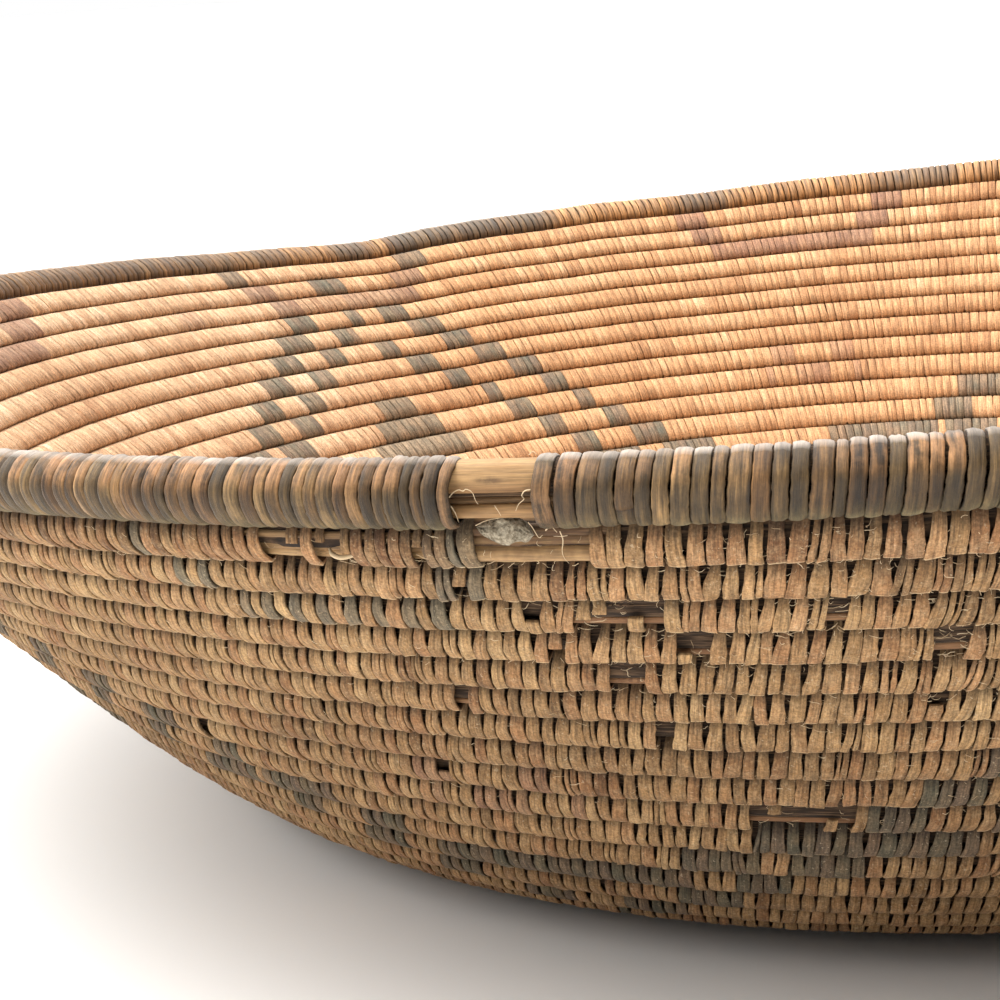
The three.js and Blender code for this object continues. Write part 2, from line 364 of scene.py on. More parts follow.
# ------------------------------------------------------------------ materials
class Nodes:
    def __init__(self, name):
        self.m = bpy.data.materials.new(name)
        self.m.use_nodes = True
        self.t = self.m.node_tree
        self.t.nodes.clear()
        self.x = 0

    def node(self, kind, **props):
        n = self.t.nodes.new(kind)
        n.location = (self.x, 0)
        self.x += 40
        for k, v in props.items():
            setattr(n, k, v)
        return n

    def put(self, socket, value):
        if isinstance(value, bpy.types.NodeSocket):
            self.t.links.new(value, socket)
        elif value is not None:
            socket.default_value = value

    def math(self, op, a, b=None, clamp=False):
        n = self.node("ShaderNodeMath", operation=op, use_clamp=clamp)
        self.put(n.inputs[0], a)
        if b is not None:
            self.put(n.inputs[1], b)
        return n.outputs[0]

    def vmul(self, v, by):
        n = self.node("ShaderNodeVectorMath", operation="MULTIPLY")
        self.put(n.inputs[0], v)
        n.inputs[1].default_value = by
        return n.outputs[0]

    def noise(self, vector, scale, detail=3.0, rough=0.55, distort=0.0):
        n = self.node("ShaderNodeTexNoise")
        self.put(n.inputs["Vector"], vector)
        n.inputs["Scale"].default_value = scale
        n.inputs["Detail"].default_value = detail
        n.inputs["Roughness"].default_value = rough
        n.inputs["Distortion"].default_value = distort
        return n.outputs["Fac"]

    def ramp(self, fac, stops, interp="LINEAR"):
        n = self.node("ShaderNodeValToRGB")
        r = n.color_ramp
        r.interpolation = interp
        while len(r.elements) < len(stops):
            r.elements.new(0.5)
        for e, (p, c) in zip(r.elements, stops):
            e.position = p
            e.color = (*c, 1.0) if len(c) == 3 else c
        self.put(n.inputs[0], fac)
        return n.outputs[0]

    def span(self, v, lo, hi, to_lo=0.0, to_hi=1.0):
        n = self.node("ShaderNodeMapRange", clamp=True)
        self.put(n.inputs["Value"], v)
        for k, w in (("From Min", lo), ("From Max", hi), ("To Min", to_lo), ("To Max", to_hi)):
            n.inputs[k].default_value = w
        return n.outputs["Result"]

    def mix(self, fac, a, b, blend="MIX"):
        n = self.node("ShaderNodeMix", data_type="RGBA", blend_type=blend)
        self.put(n.inputs[0], fac)
        for sock, v in ((n.inputs[6], a), (n.inputs[7], b)):
            if isinstance(v, tuple) and len(v) == 3:
                v = (*v, 1.0)
            self.put(sock, v)
        return n.outputs[2]

    def shade(self, color, gain):
        """color times a number socket"""
        n = self.node("ShaderNodeVectorMath", operation="SCALE")
        self.put(n.inputs[0], color)
        self.put(n.inputs["Scale"], gain)
        return n.outputs[0]

    def attr(self, name):
        n = self.node("ShaderNodeAttribute", attribute_type="GEOMETRY", attribute_name=name)
        s = self.node("ShaderNodeSeparateColor")
        self.put(s.inputs[0], n.outputs["Color"])
        return s.outputs[0], s.outputs[1], s.outputs[2], n.outputs["Alpha"]

    def uv(self, name="grain"):
        return self.node("ShaderNodeUVMap", uv_map=name).outputs[0]

    def object(self):
        return self.node("ShaderNodeTexCoord").outputs["Object"]

    def bump(self, height, strength, distance):
        n = self.node("ShaderNodeBump")
        self.put(n.inputs["Height"], height)
        n.inputs["Strength"].default_value = strength
        n.inputs["Distance"].default_value = distance
        return n.outputs[0]

    def finish(self, color, rough, normal, specular=0.35, sheen=0.0):
        b = self.node("ShaderNodeBsdfPrincipled")
        self.put(b.inputs["Base Color"], color)
        self.put(b.inputs["Roughness"], rough)
        if normal is not None:
            self.put(b.inputs["Normal"], normal)
        b.inputs["Specular IOR Level"].default_value = specular
        b.inputs["Sheen Weight"].default_value = sheen
        o = self.node("ShaderNodeOutputMaterial")
        self.t.links.new(b.outputs[0], o.inputs[0])
        return self.m


# st: tint, dye strength, dye hue, side (0 outside, 1 inside)
# ed: groove dirt and painted shade, pale edge (on the rim wraps a painted highlight), wear, a number of its own
def splint_colour(n, out, red, inn):
    """The natural splint: its colour outside or inside, and its noises."""
    tint, dye, hue, side = n.attr("st")
    dirt_and_shade, pale, wear, own = n.attr("ed")
    g = n.uv()
    o = n.object()
    fine = n.noise(n.vmul(g, (3.4, 0.20, 1)), 1.0, 7.0, 0.76)
    coarse = n.noise(n.vmul(g, (1.6, 0.12, 1)), 1.0, 3.0, 0.55)
    patch = n.noise(o, 42.0, 3.0, 0.55)
    blot = n.noise(o, 420.0, 4.0, 0.62)
    grit = n.noise(o, 3600.0, 2.0, 0.65)
    v = n.math("ADD", n.math("MULTIPLY", tint, 0.60), n.math("MULTIPLY", coarse, 0.40))
    v = n.math("ADD", v, n.math("MULTIPLY", n.math("SUBTRACT", patch, 0.5), 0.50))
    v = n.math("ADD", v, n.math("MULTIPLY", n.math("SUBTRACT", blot, 0.5), 0.40))
    outside = n.ramp(v, [(0.10, out[0]), (0.5, out[1]), (0.90, out[2])])
    ruddy = n.ramp(v, [(0.10, red[0]), (0.5, red[1]), (0.90, red[2])])
    outside = n.mix(n.span(own, 0.45, 0.95, 0.0, 0.75), outside, ruddy)
    inside = n.ramp(v, [(0.10, inn[0]), (0.5, inn[1]), (0.9, inn[2])])
    c = n.mix(side, outside, inside)
    return c, (tint, dye, hue, side), (dirt_and_shade, pale, wear, own), (fine, coarse, blot, grit), o


def stitch_material(out, red, inn):
    n = Nodes("sewn_splint")
    c, (tint, dye, hue, side), (dirt_and_shade, pale, wear, own), (fine, coarse, blot, grit), o = (
        splint_colour(n, out, red, inn))
    outer = n.math("SUBTRACT", 1.0, side)
    # the inside is paler where wear is 1
    c = n.mix(n.math("MULTIPLY", side, wear), c, n.vmul(c, (1.17, 1.36, 1.66)))
    # dust on the outside: a film in patches, and pale specks
    film = n.math("MULTIPLY", n.span(n.noise(o, 900.0, 3.0, 0.6), 0.44, 0.62, 0.0, 0.26), outer)
    c = n.mix(film, c, (0.36, 0.250, 0.140))
    # dye: 0 dark grey, 0.5 mauve, 1 grey
    dyed = n.ramp(hue, [(0.0, (0.073, 0.067, 0.045)), (0.5, (0.170, 0.078, 0.056)),
                        (1.0, (0.110, 0.098, 0.068))])
    # the dyed inside is brighter than the dyed outside: partly painted light, as for the plain ramps
    dyed_in = n.ramp(hue, [(0.0, (0.108, 0.105, 0.078)), (0.5, (0.190, 0.095, 0.070)),
                           (1.0, (0.190, 0.150, 0.100))])
    dyed = n.mix(side, dyed, dyed_in)
    fade = n.span(n.math("ADD", n.math("MULTIPLY", blot, 0.6), n.math("MULTIPLY", fine, 0.4)),
                  0.36, 0.64, 1.0, 0.72)
    c = n.mix(n.math("MULTIPLY", dye, fade), c, dyed)
    # fibres and grit
    c = n.shade(c, n.span(fine, 0.37, 0.63, 0.50, 1.46))
    c = n.shade(c, n.span(grit, 0.36, 0.64, 0.76, 1.24))
    speck = n.span(n.noise(o, 3000.0, 1.0, 0.5), 0.68, 0.73, 0.0, 0.42)
    c = n.mix(n.math("MULTIPLY", speck, outer), c, (0.52, 0.41, 0.27))
    # pale torn edges; painted shade in the grooves, under the fold and on the strips' sides
    c = n.mix(n.math("MULTIPLY", pale, n.span(fine, 0.38, 0.56, 0.45, 0.95)), c,
              (0.60, 0.45, 0.27))
    # painted shade in the grooves: strong outside, faint inside
    deep = n.math("ADD", 0.16, n.math("MULTIPLY", side, 0.78))
    c = n.shade(c, n.math("SUBTRACT", 1.0, n.math("MULTIPLY", dirt_and_shade, n.math("SUBTRACT", 1.0, deep))))
    height = n.math("ADD", n.math("MULTIPLY", fine, 0.9), n.math("MULTIPLY", blot, 0.3))
    height = n.math("ADD", height, n.math("MULTIPLY", grit, 0.22))
    rough = n.span(fine, 0.25, 0.75, 0.68, 0.88)
    return n.finish(c, rough, n.bump(height, 0.75, 0.00012), 0.24)


def wrap_material(out, red, inn):
    """The rim's dark splints. pale: a painted highlight along the top, and a paler tone inside the
    dark stretches at the back; wear: tan where the dark has rubbed off; dye: grey dust low outside."""
    n = Nodes("rim_splint")
    c, (tint, dye, hue, side), (dirt_and_shade, pale, wear, own), (fine, coarse, blot, grit), o = (
        splint_colour(n, out, red, inn))
    c = n.shade(c, n.span(coarse, 0.36, 0.64, 0.62, 1.45))
    rub = n.math("MULTIPLY", wear, n.span(n.math("ADD", n.math("MULTIPLY", blot, 0.55),
                                                n.math("MULTIPLY", coarse, 0.45)), 0.40, 0.58))
    c = n.mix(rub, c, (0.330, 0.165, 0.070))
    dust = n.math("MULTIPLY", dye, n.span(n.noise(o, 600.0, 3.0, 0.6), 0.36, 0.60, 0.35, 1.0))
    c = n.mix(dust, c, (0.150, 0.120, 0.061))
    c = n.shade(c, n.span(fine, 0.37, 0.63, 0.50, 1.55))
    c = n.shade(c, n.span(grit, 0.34, 0.66, 0.90, 1.10))
    speck = n.span(n.noise(o, 2600.0, 1.0, 0.5), 0.71, 0.76, 0.0, 0.45)
    c = n.mix(n.math("MULTIPLY", speck, dye), c, (0.42, 0.34, 0.24))
    # painted highlight along the top of the wraps, and a paler tone inside at the back
    c = n.mix(n.math("MULTIPLY", pale, n.span(fine, 0.36, 0.58, 0.55, 1.0)), c,
              (0.480, 0.410, 0.350))
    # painted shade underneath, in recesses and on the wraps' sides
    c = n.shade(c, n.span(dirt_and_shade, 0.0, 1.0, 1.0, 0.16))
    height = n.math("ADD", n.math("MULTIPLY", fine, 0.9), n.math("MULTIPLY", coarse, 0.5))
    height = n.math("ADD", height, n.math("MULTIPLY", blot, 0.2))
    rough = n.math("ADD", n.span(fine, 0.3, 0.7, 0.36, 0.54), n.math("MULTIPLY", dye, 0.34))
    return n.finish(c, rough, n.bump(height, 0.9, 0.00019), 0.26)


# the inside ramp is brighter than the outside: partly the splint's own paler inside, partly painted light for the
# brightly lit interior
STITCH = stitch_material(
    ((0.112, 0.058, 0.024), (0.265, 0.150, 0.064), (0.420, 0.270, 0.128)),
    ((0.098, 0.040, 0.017), (0.240, 0.112, 0.048), (0.400, 0.215, 0.100)),
    ((0.315, 0.145, 0.062), (0.500, 0.272, 0.131), (0.610, 0.385, 0.215)),
)
RIM_WRAP = wrap_material(
    ((0.021, 0.0140, 0.0068), (0.069, 0.0415, 0.0165), (0.228, 0.140, 0.058)),
    ((0.026, 0.0130, 0.0046), (0.088, 0.0415, 0.0142), (0.256, 0.126, 0.047)),
    ((0.230, 0.110, 0.042), (0.420, 0.215, 0.085), (0.520, 0.310, 0.150)),
)


def rod_material(name, dark, mid, light):
    n = Nodes(name)
    tint, bare, hue, side = n.attr("st")
    dirt_and_shade, pale, wear, own = n.attr("ed")
    g = n.uv()
    o = n.object()
    fine = n.noise(n.vmul(g, (5.0, 0.22, 1)), 1.0, 4.0, 0.62)
    streak = n.noise(n.vmul(g, (1.1, 0.05, 1)), 1.0, 3.0, 0.5)
    blot = n.noise(o, 420.0, 3.0, 0.6)
    v = n.math("ADD", n.math("MULTIPLY", streak, 0.55), n.math("MULTIPLY", tint, 0.35))
    v = n.math("ADD", v, n.math("MULTIPLY", blot, 0.25))
    c = n.ramp(v, [(0.25, dark), (0.55, mid), (0.82, light)])
    c = n.mix(hue, c, n.ramp(v, [(0.2, (0.070, 0.026, 0.011)), (0.5, (0.185, 0.078, 0.032)),
                                 (0.8, (0.330, 0.165, 0.075))]))
    # painted shade: rods that are not bare, hidden under the stitches and seen only in narrow gaps, are near black
    # outside
    painted_shade_dark = n.ramp(fine, [(0.36, (0.016, 0.009, 0.005)), (0.5, (0.042, 0.024, 0.013)),
                        (0.64, (0.105, 0.062, 0.034))])
    hidden = n.mix(side, painted_shade_dark, (0.46, 0.262, 0.115))
    c = n.mix(n.math("SUBTRACT", 1.0, bare), c, hidden)
    gain = n.math("ADD", n.math("MULTIPLY", n.span(fine, 0.36, 0.64, 0.62, 1.28), n.math("SUBTRACT", 1.0, bare)),
                  n.math("MULTIPLY", n.span(fine, 0.36, 0.64, 0.72, 1.22), bare))
    c = n.shade(c, gain)
    stain = n.math("MULTIPLY", wear, n.span(n.noise(o, 900.0, 3.0, 0.6), 0.40, 0.58, 0.0, 1.0))
    c = n.mix(stain, c, (0.11, 0.055, 0.028))
    c = n.shade(c, n.span(dirt_and_shade, 0.0, 1.0, 1.0, 0.22))
    height = n.math("ADD", n.math("MULTIPLY", fine, 0.8), n.math("MULTIPLY", blot, 0.2))
    rough = n.math("ADD", n.span(fine, 0.3, 0.7, 0.50, 0.66),
                   n.math("MULTIPLY", n.math("SUBTRACT", 1.0, bare), 0.28))
    return n.finish(c, rough, n.bump(height, 0.8, 0.00014), 0.28)


ROD = rod_material("foundation_rod", (0.120, 0.062, 0.025), (0.270, 0.155, 0.062), (0.385, 0.245, 0.112))


def filler_material():
    n = Nodes("old_filler")
    o = n.object()
    dirt_and_shade, pale, wear, own = n.attr("ed")
    a = n.noise(o, 1100.0, 4.0, 0.65)
    b = n.noise(o, 4200.0, 3.0, 0.6)
    v = n.math("ADD", n.math("MULTIPLY", a, 0.6), n.math("MULTIPLY", b, 0.4))
    c = n.ramp(v, [(0.38, (0.085, 0.064, 0.040)), (0.50, (0.235, 0.193, 0.134)),
                   (0.60, (0.390, 0.335, 0.245))])
    c = n.shade(c, n.span(dirt_and_shade, 0.0, 1.0, 1.0, 0.3))
    return n.finish(c, n.span(a, 0.3, 0.7, 0.75, 0.95), n.bump(v, 0.9, 0.00035), 0.25)


def fibre_material():
    n = Nodes("loose_fibre")
    tint, dye, hue, side = n.attr("st")
    o = n.object()
    v = n.math("ADD", n.math("MULTIPLY", tint, 0.7), n.math("MULTIPLY", n.noise(o, 900.0), 0.4))
    c = n.ramp(v, [(0.2, (0.20, 0.12, 0.06)), (0.55, (0.46, 0.33, 0.19)), (0.9, (0.66, 0.52, 0.34))])
    return n.finish(c, n.span(v, 0.2, 0.9, 0.6, 0.8), None, 0.3)


FILLER = filler_material()
FIBRE = fibre_material()

# ------------------------------------------------------------------ the pattern, by row and angle
PEAKS = np.array([-56.25, 15.75, 87.0, 154.0, 225.75])
LINE_T = np.array([0, 4, 8, 12, 15.5, 18, 20, 25, 27, 31, 36.0])
LINE_S = np.array([1.7, 3.6, 5.6, 7.3, 8.7, 9.6, 10.5, 11.4, 12.3, 13.0, 13.2])
LOWER = np.interp(LINE_T, [2, 5, 23, 27], [0.0, 0.5, 0.5, 0.15])
# the stepped line on the two sides of each peak: degrees from the peak, rows; and how far round
# the second line lags
BEFORE, AFTER = {}, {}
for _i, _k in enumerate((1.0, 1.0, 1.08, 1.06, 1.0)):
    BEFORE[_i] = AFTER[_i] = (LINE_T / _k, LINE_S, 5.5)
AFTER[0] = BEFORE[1] = (LINE_T, LINE_S + LOWER, 5.5)
BEFORE[4] = ([0, 2.5, 4.6, 6.3, 8.7, 11.4, 14, 16.3, 18.8, 21, 24, 30, 36],
             [2.4, 3.9, 5.1, 5.85, 7.0, 8.2, 9.6, 10.85, 12.0, 12.9, 13.7, 14.3, 14.5], 6.2)
AFTER[4] = ([0, 1.9, 3.7, 5.8, 7.8, 10.0, 13.1, 14.7, 19, 25, 30, 36],
            [2.4, 2.7, 3.5, 4.6, 5.5, 6.5, 7.9, 8.6, 10.2, 11.6, 12.6, 13.4], 4.8)
AFTER[3] = (LINE_T / 1.06, LINE_S + np.interp(LINE_T, [12, 18], [0.0, 0.4]), 5.5)


def near(theta):
    """Number of the nearest peak, signed degrees from it, and degrees to the nearest trough."""
    t = np.asarray(theta, float)
    d = (t[..., None] - PEAKS + 180) % 360 - 180
    i = np.argmin(np.abs(d), -1)
    dd = np.take_along_axis(d, i[..., None], -1)[..., 0]
    nxt = np.where(dd > 0, PEAKS[(i + 1) % 5], PEAKS[(i - 1) % 5])
    half = np.abs((nxt - PEAKS[i] + 180) % 360 - 180) / 2
    return i, dd, half - np.abs(dd)


def pattern(s, theta, number):
    """Dye strength and hue of stitches at rows s and angles theta."""
    which, signed, tau = near(theta)
    drift = 0.25 * np.sin(np.radians(theta * 7.0) + s * 0.9)
    row = np.round(s - 0.186) + 0.186
    dye = np.zeros_like(tau)
    hue = np.zeros_like(tau)
    outer, inner = np.full_like(tau, -9.0), np.full_like(tau, -9.0)
    for i in range(5):
        for legs, m in ((BEFORE, (which == i) & (signed <= 0)), (AFTER, (which == i) & (signed > 0))):
            at, rows, lag = legs[i]
            t = np.abs(signed[m])
            outer[m] = np.interp(t, at, rows) + drift[m] * 0.4
            second = np.interp(t + lag, at, rows) + drift[m] * 0.4
            inner[m] = np.where(t > 24, second + (t - 24) * 0.22, second)
    apart = np.abs((theta + 34 + 180) % 360 - 180) < 16  # here the blocks stand apart
    for line, share in ((outer, np.where(apart, 0.43, 0.56)), (inner, np.where(apart, 0.36, 0.46))):
        on = np.abs(line - row) < share
        dye = np.where(on, 1.0, dye)
        hue = np.where(on, 0.06 * (number % 3), hue)
    # the small stepped block under each peak
    off = np.where(which == 4, 2.0, 0.0)
    block = (row > 8.6) & (row < 11.6) & (np.abs(signed - off) < 1.0 + (row - 8.6) * 1.35)
    dye = np.where(block, np.where(which == 4, 0.84, 1.0), dye)
    hue = np.where(block, 0.0, hue)
    # the outlines that hang from the rim above each trough and each peak
    at_front = (np.abs((theta + 20 + 180) % 360 - 180) < 14)
    edge = 8.7 - row * 1.15 - np.where(at_front, np.where((theta + 20.25 + 180) % 360 > 180, 1.3, 0.8), 0.0)
    for mid in (0, 1):
        gap = np.abs(signed - 0.4) if mid else np.abs(tau)
        far = edge if mid else edge + np.where((which == 4) & (signed > 0), 3.4, 0.0)
        side = (row < 3.3) & (np.abs(gap - far) < np.where(at_front, 0.85, np.where(far > edge, 1.7, 1.1)))
        foot = (row > 2.9) & (row < 3.3) & (gap < far + 0.85)
        on = side | foot
        keep = on & (~at_front | (number % 2 == 0))
        soft = np.where(side, np.where(row < 1.5, 0.92, 0.76), np.where(signed > 0.4, 0.34, 0.58)) if mid else 0.80
        tone = np.where(row < 1.5, 0.10, 0.38) if mid else 0.5
        dye = np.where(keep, np.where(at_front, 0.92, soft), dye)
        hue = np.where(keep, np.where(at_front, 1.0, tone), hue)
    # a faint mauve stain beside the fourth peak
    stain = (np.abs(row - 3.186) < 0.1) & (np.abs((theta - 240.0 + 180) % 360 - 180) < 1.1) & (dye == 0)
    dye = np.where(stain, 0.45, dye)
    hue = np.where(stain, 0.5, hue)
    # faint red patches in the troughs
    red = (row > 8.3) & (row < 10.4) & (tau < 4.0) & (np.floor(tau / 1.9 + row) % 2 == 0)
    dye = np.where(red & (dye == 0), 0.5, dye)
    hue = np.where(red & (dye == 0.5), 0.5, hue)
    return dye, hue


# ------------------------------------------------------------------ one stitch
# the splint's way round the coil: over the top, down the outside to its fold, under and up inside
PATH = [
    (2.72, -0.20), (2.52, 0.80), (2.20, 1.45), (1.70, 1.98), (1.05, 2.36), (0.30, 2.55),
    (-0.50, 2.54), (-1.28, 2.40), (-1.98, 2.20), (-2.06, 1.96), (-2.12, 1.50), (-2.40, 0.20),
    (-2.70, -1.20), (-2.56, -2.28), (-1.70, -2.68), (0.00, -2.79), (1.70, -2.66), (2.58, -2.10),
]
_pc, _pi = spline(PATH)
PATH_END = float(len(PATH))


def path_at(c):
    """Point of the way at control number c (0..18, wrapping)."""
    c = np.asarray(c) % PATH_END
    x = np.interp(c, np.append(_pi, PATH_END), np.append(_pc[:, 0], _pc[0, 0]))
    y = np.interp(c, np.append(_pi, PATH_END), np.append(_pc[:, 1], _pc[0, 1]))
    return x, y


HIGH = np.array([0.2, 1.1, 1.8, 2.5, 3.3, 4.2, 5.1, 6.0, 6.9, 7.5, 7.9, 8.15, 9.0, 10.4, 12.2, 13.8, 15.2, 16.8])
FOLD = (10,)  # the ring of faces of HIGH at the lower edge
LOW = np.array([0.3, 1.7, 3.3, 5.2, 7.2, 8.2, 9.2, 12.0, 13.4, 14.6, 16.2, 17.2])
SEC_HIGH = np.array([(-1, -0.17), (-1, 0.075), (-0.82, 0.115), (0.0, 0.13), (0.82, 0.11), (1, 0.065), (1, -0.17)])
FLAT_HIGH = (0, 5, 6)
SEC_LOW = np.array([(-1, -0.15), (-0.80, 0.10), (0.80, 0.10), (1, -0.15)])
FLAT_LOW = (3,)


def ramp01(c, a, b):
    return smooth((c - a) / (b - a))


def stitches(build, f, stations, section, flat, p, closed=True):
    """p: per-stitch numbers. f: frames of the coil at each stitch."""
    N = len(f["r"])
    if N == 0:
        return
    c = stations if stations.ndim == 2 else np.broadcast_to(stations, (N, len(stations)))
    M = c.shape[1]
    x, y = path_at(c)
    cc = c % PATH_END
    kx = (f["wide"] / PITCH)[:, None]
    ky = (1 + 0.055 * np.clip(1 - f["a"] / 0.25, 0, 1))[:, None]
    low_end = ramp01(cc, 5.0, 8.0) * (1 - ramp01(cc, 9.0, 10.5))
    outer = ramp01(cc, 0.6, 2.2) * (1 - ramp01(cc, 9.5, 11.5))
    inner = ramp01(cc, 12.4, 13.6) * (1 - ramp01(cc, 16.6, 17.8))
    x = x * kx + p["drop"][:, None] * low_end
    y = y * ky + p["lift"][:, None] * low_end + p["proud"][:, None] * (outer - inner)
    # width along the way
    w = np.interp(cc, [0, 1, 2, 4, 6, 8, 9, 10, 11.5, 12.6, 13.4, 16.6, 17.4, 18],
                  [0.80, 0.94, 1.00, 1.02, 1.03, 1.05, 1.04, 0.92, 0.90, 1.08, 1.20, 1.18, 1.02, 0.80])
    top = p["top"][:, None]
    w = w * (1 - (1 - top) * (1 - ramp01(cc, 1.2, p["full"][:, None])) * (cc < 11.5))
    w = w * p["half"][:, None]
    # lean: the way down runs to one side, and it comes back under and inside
    down = ramp01(cc, 0.0, 8.6) * 0.0
    dist = np.clip((2.4 - x / kx), 0, 4.5)
    t = -p["lean"][:, None] * np.where(cc < 9.5, dist - 2.2, 0)
    low_t = -p["lean"][:, None] * 2.2
    high_t = p["lean"][:, None] * 2.2
    back = np.interp(cc, [9.5, 11.0, 13.0, 16.8, 18.0], [0, 0.12, 0.30, 0.70, 1.0])
    t = np.where(cc < 9.5, t, low_t + (high_t - low_t) * back)
    t = t + p["side"][:, None] + p["bend"][:, None] * ramp01(cc, 1.0, 8.0) * (1 - ramp01(cc, 9.0, 10.5))
    t = t + p["wob"][:, None] * np.sin(cc * 1.3 + p["ph"][:, None])
    # normals in the section plane
    if closed:
        dx = np.roll(x, -1, 1) - np.roll(x, 1, 1)
        dy = np.roll(y, -1, 1) - np.roll(y, 1, 1)
    else:
        dx, dy = np.gradient(x, axis=1), np.gradient(y, axis=1)
    ln = np.hypot(dx, dy) + 1e-9
    nx, ny = dy / ln, -dx / ln
    Q = len(section)
    sw, sh = section[:, 0], section[:, 1]
    thin = p["thin"][:, None, None]
    cup = p["cup"][:, None, None] * (sw ** 2)[None, None, :] * outer[..., None]
    X = x[..., None] + nx[..., None] * (sh * thin + cup)
    Y = y[..., None] + ny[..., None] * (sh * thin + cup)
    X = X + (p["slant"][:, None] * low_end)[..., None] * sw
    Y = Y + (p["twist"][:, None] * low_end)[..., None] * sw
    T = t[..., None] + w[..., None] * sw
    if Q > 4:
        left = 0.035 * rng.standard_normal((N, M)) * outer
        right = 0.035 * rng.standard_normal((N, M)) * outer
        T = T + left[..., None] * (sw < -0.9) + right[..., None] * (sw > 0.9)
        low_edge = 0.05 * rng.standard_normal((N, Q)) * np.abs(np.sign(sw))
        X = X + low_edge[:, None, :] * low_end[..., None]
        Y = Y + (0.02 * rng.standard_normal((N, M, Q))) * outer[..., None]
    co = world(f, X, Y, T)
    uu = w[..., None] * np.append(sw, sw[0]) + p["uo"][:, None, None]
    seg = np.hypot(np.diff(x, axis=1), np.diff(y, axis=1))
    if closed:
        last = np.hypot(x[:, :1] - x[:, -1:], y[:, :1] - y[:, -1:])
        seg = np.concatenate([seg, last], 1)
    else:
        seg = np.concatenate([seg, np.zeros((N, 1))], 1)
    vv = np.concatenate([np.zeros((N, 1)), np.cumsum(seg, 1)], 1) + p["vo"][:, None]
    shape = (N, M, Q)
    b = lambda v: np.broadcast_to(v[..., None] if v.ndim == 2 else v[:, None, None], shape)
    side = ramp01(cc, 10.8, 12.6)
    side = np.where(cc > 17.0, 1 - ramp01(cc, 17.0, 18.0), side)
    # dirt and painted shade in the crease under the row above; painted shade underneath the fold, in the inside gap
    # between rows and on the strips' sides
    groove = np.maximum(1 - ramp01(cc, 1.6, 4.0), 0) * 0.75 * (cc < 5)
    under = ramp01(cc, 8.7, 9.6) * (1 - ramp01(cc, 12.4, 13.4)) * 1.0
    ingap = np.maximum(ramp01(cc, 16.4, 17.6) * 0.6, 0)
    dirt_and_shade = np.clip(groove + under + ingap, 0, 1)
    dirt_and_shade3 = np.broadcast_to(dirt_and_shade[..., None], shape).copy()
    dirt_and_shade3 = np.where((np.abs(sw) > 0.99)[None, None, :] & (sh < 0)[None, None, :],
                     np.maximum(dirt_and_shade3, 0.7), dirt_and_shade3)
    line = np.exp(-((cc - 7.95) / 0.20) ** 2) * p["rag"][:, None]
    st = four(b(p["tint"]), b(p["dye"]), b(p["hue"]), b(side), shape)
    ed = np.stack([dirt_and_shade3, b(line), b(p["fade"]), b(p["own"])], -1)
    fold = FOLD if closed and M == len(HIGH) else ()
    build.grid(co, uu, vv, st, ed, flat, closed, fold=fold)


def numbers(f, n, detail):
    """Random numbers for n stitches."""
    r = rng
    s, th = f["s"], f["th"]
    p = {}
    p["half"] = 0.5 * 1.535 * np.clip(0.885 + 0.045 * r.standard_normal(n), 0.74, 0.98)
    # slats under the rim and low down are straight; rows 2 to 4 narrow to a rounded top
    arched = np.interp(s, [1.0, 2.0, 4.2, 5.5], [0.25, 1.0, 0.9, 0.0])
    p["top"] = np.clip(0.85 - 0.14 * arched + (0.07 + 0.03 * arched) * r.standard_normal(n), 0.48, 1.0)
    p["full"] = 6.4 - 1.2 * arched
    p["lean"] = np.clip(0.19 - 0.06 * (s < 1.6) + 0.045 * r.standard_normal(n), 0.0, 0.4)
    p["drop"] = 0.085 * r.standard_normal(n)
    p["lift"] = 0.06 * np.abs(r.standard_normal(n)) - 0.02
    p["proud"] = 0.04 * r.standard_normal(n)
    p["side"] = np.zeros(n)
    p["bend"] = 0.05 * r.standard_normal(n)
    p["wob"] = 0.018 * r.standard_normal(n)
    p["ph"] = r.uniform(0, 6.28, n)
    p["thin"] = r.uniform(0.85, 1.2, n)
    p["cup"] = -0.012 + 0.018 * r.standard_normal(n)
    p["slant"] = 0.07 * r.standard_normal(n)
    p["twist"] = 0.035 * r.standard_normal(n)
    p["uo"] = r.uniform(0, 300, n)
    p["vo"] = r.uniform(0, 300, n)
    p["rag"] = np.clip(r.uniform(-0.1, 1.3, n), 0, 1)
    p["own"] = r.uniform(0, 1, n)
    slow = noise3(np.stack([th * 0.16, s * 0.9, 0 * s], -1), 3)
    slower = noise3(np.stack([th * 0.035, s * 0.22, 0 * s], -1), 5)
    base = np.interp(s, [1.0, 2.0, 4.0, 6.0], [0.42, 0.56, 0.54, 0.50])
    vary = np.interp(s, [2.0, 4.0], [0.17, 0.12])
    p["tint"] = np.clip(base + vary * r.standard_normal(n) + 0.15 * slow + 0.15 * slower, 0, 1)
    p["own"] = np.clip(p["own"] + 0.30 * (s < 1.6), 0, 1)
    # the inside is paler towards the left
    turn = np.asarray(th, float) % 360
    p["fade"] = np.clip(smooth((turn - 216) / 22) - smooth((turn - 300) / 30), 0, 1)
    p["fade"] = np.clip(p["fade"] * (1 + 0.15 * slower), 0, 1)
    return p


def pick(p, m):
    return {k: v[m] for k, v in p.items()}


# worn places: row, from angle, to angle
WORN = [
    (1, -21.37, -20.22), (1, -19.70, -18.20), (1, -16.12, -15.74), (1, -13.99, -10.08),
    (3, -10.77, -8.96), (3, -3.5, -3.05), (4, -8.97, -7.81), (4, 0.04, 0.80),
    (5, -11.52, -10.98), (5, -10.75, -10.45), (6, -18.6, -18.2), (2, -4.9, -4.72), (10, -8.50, -4.00),
]
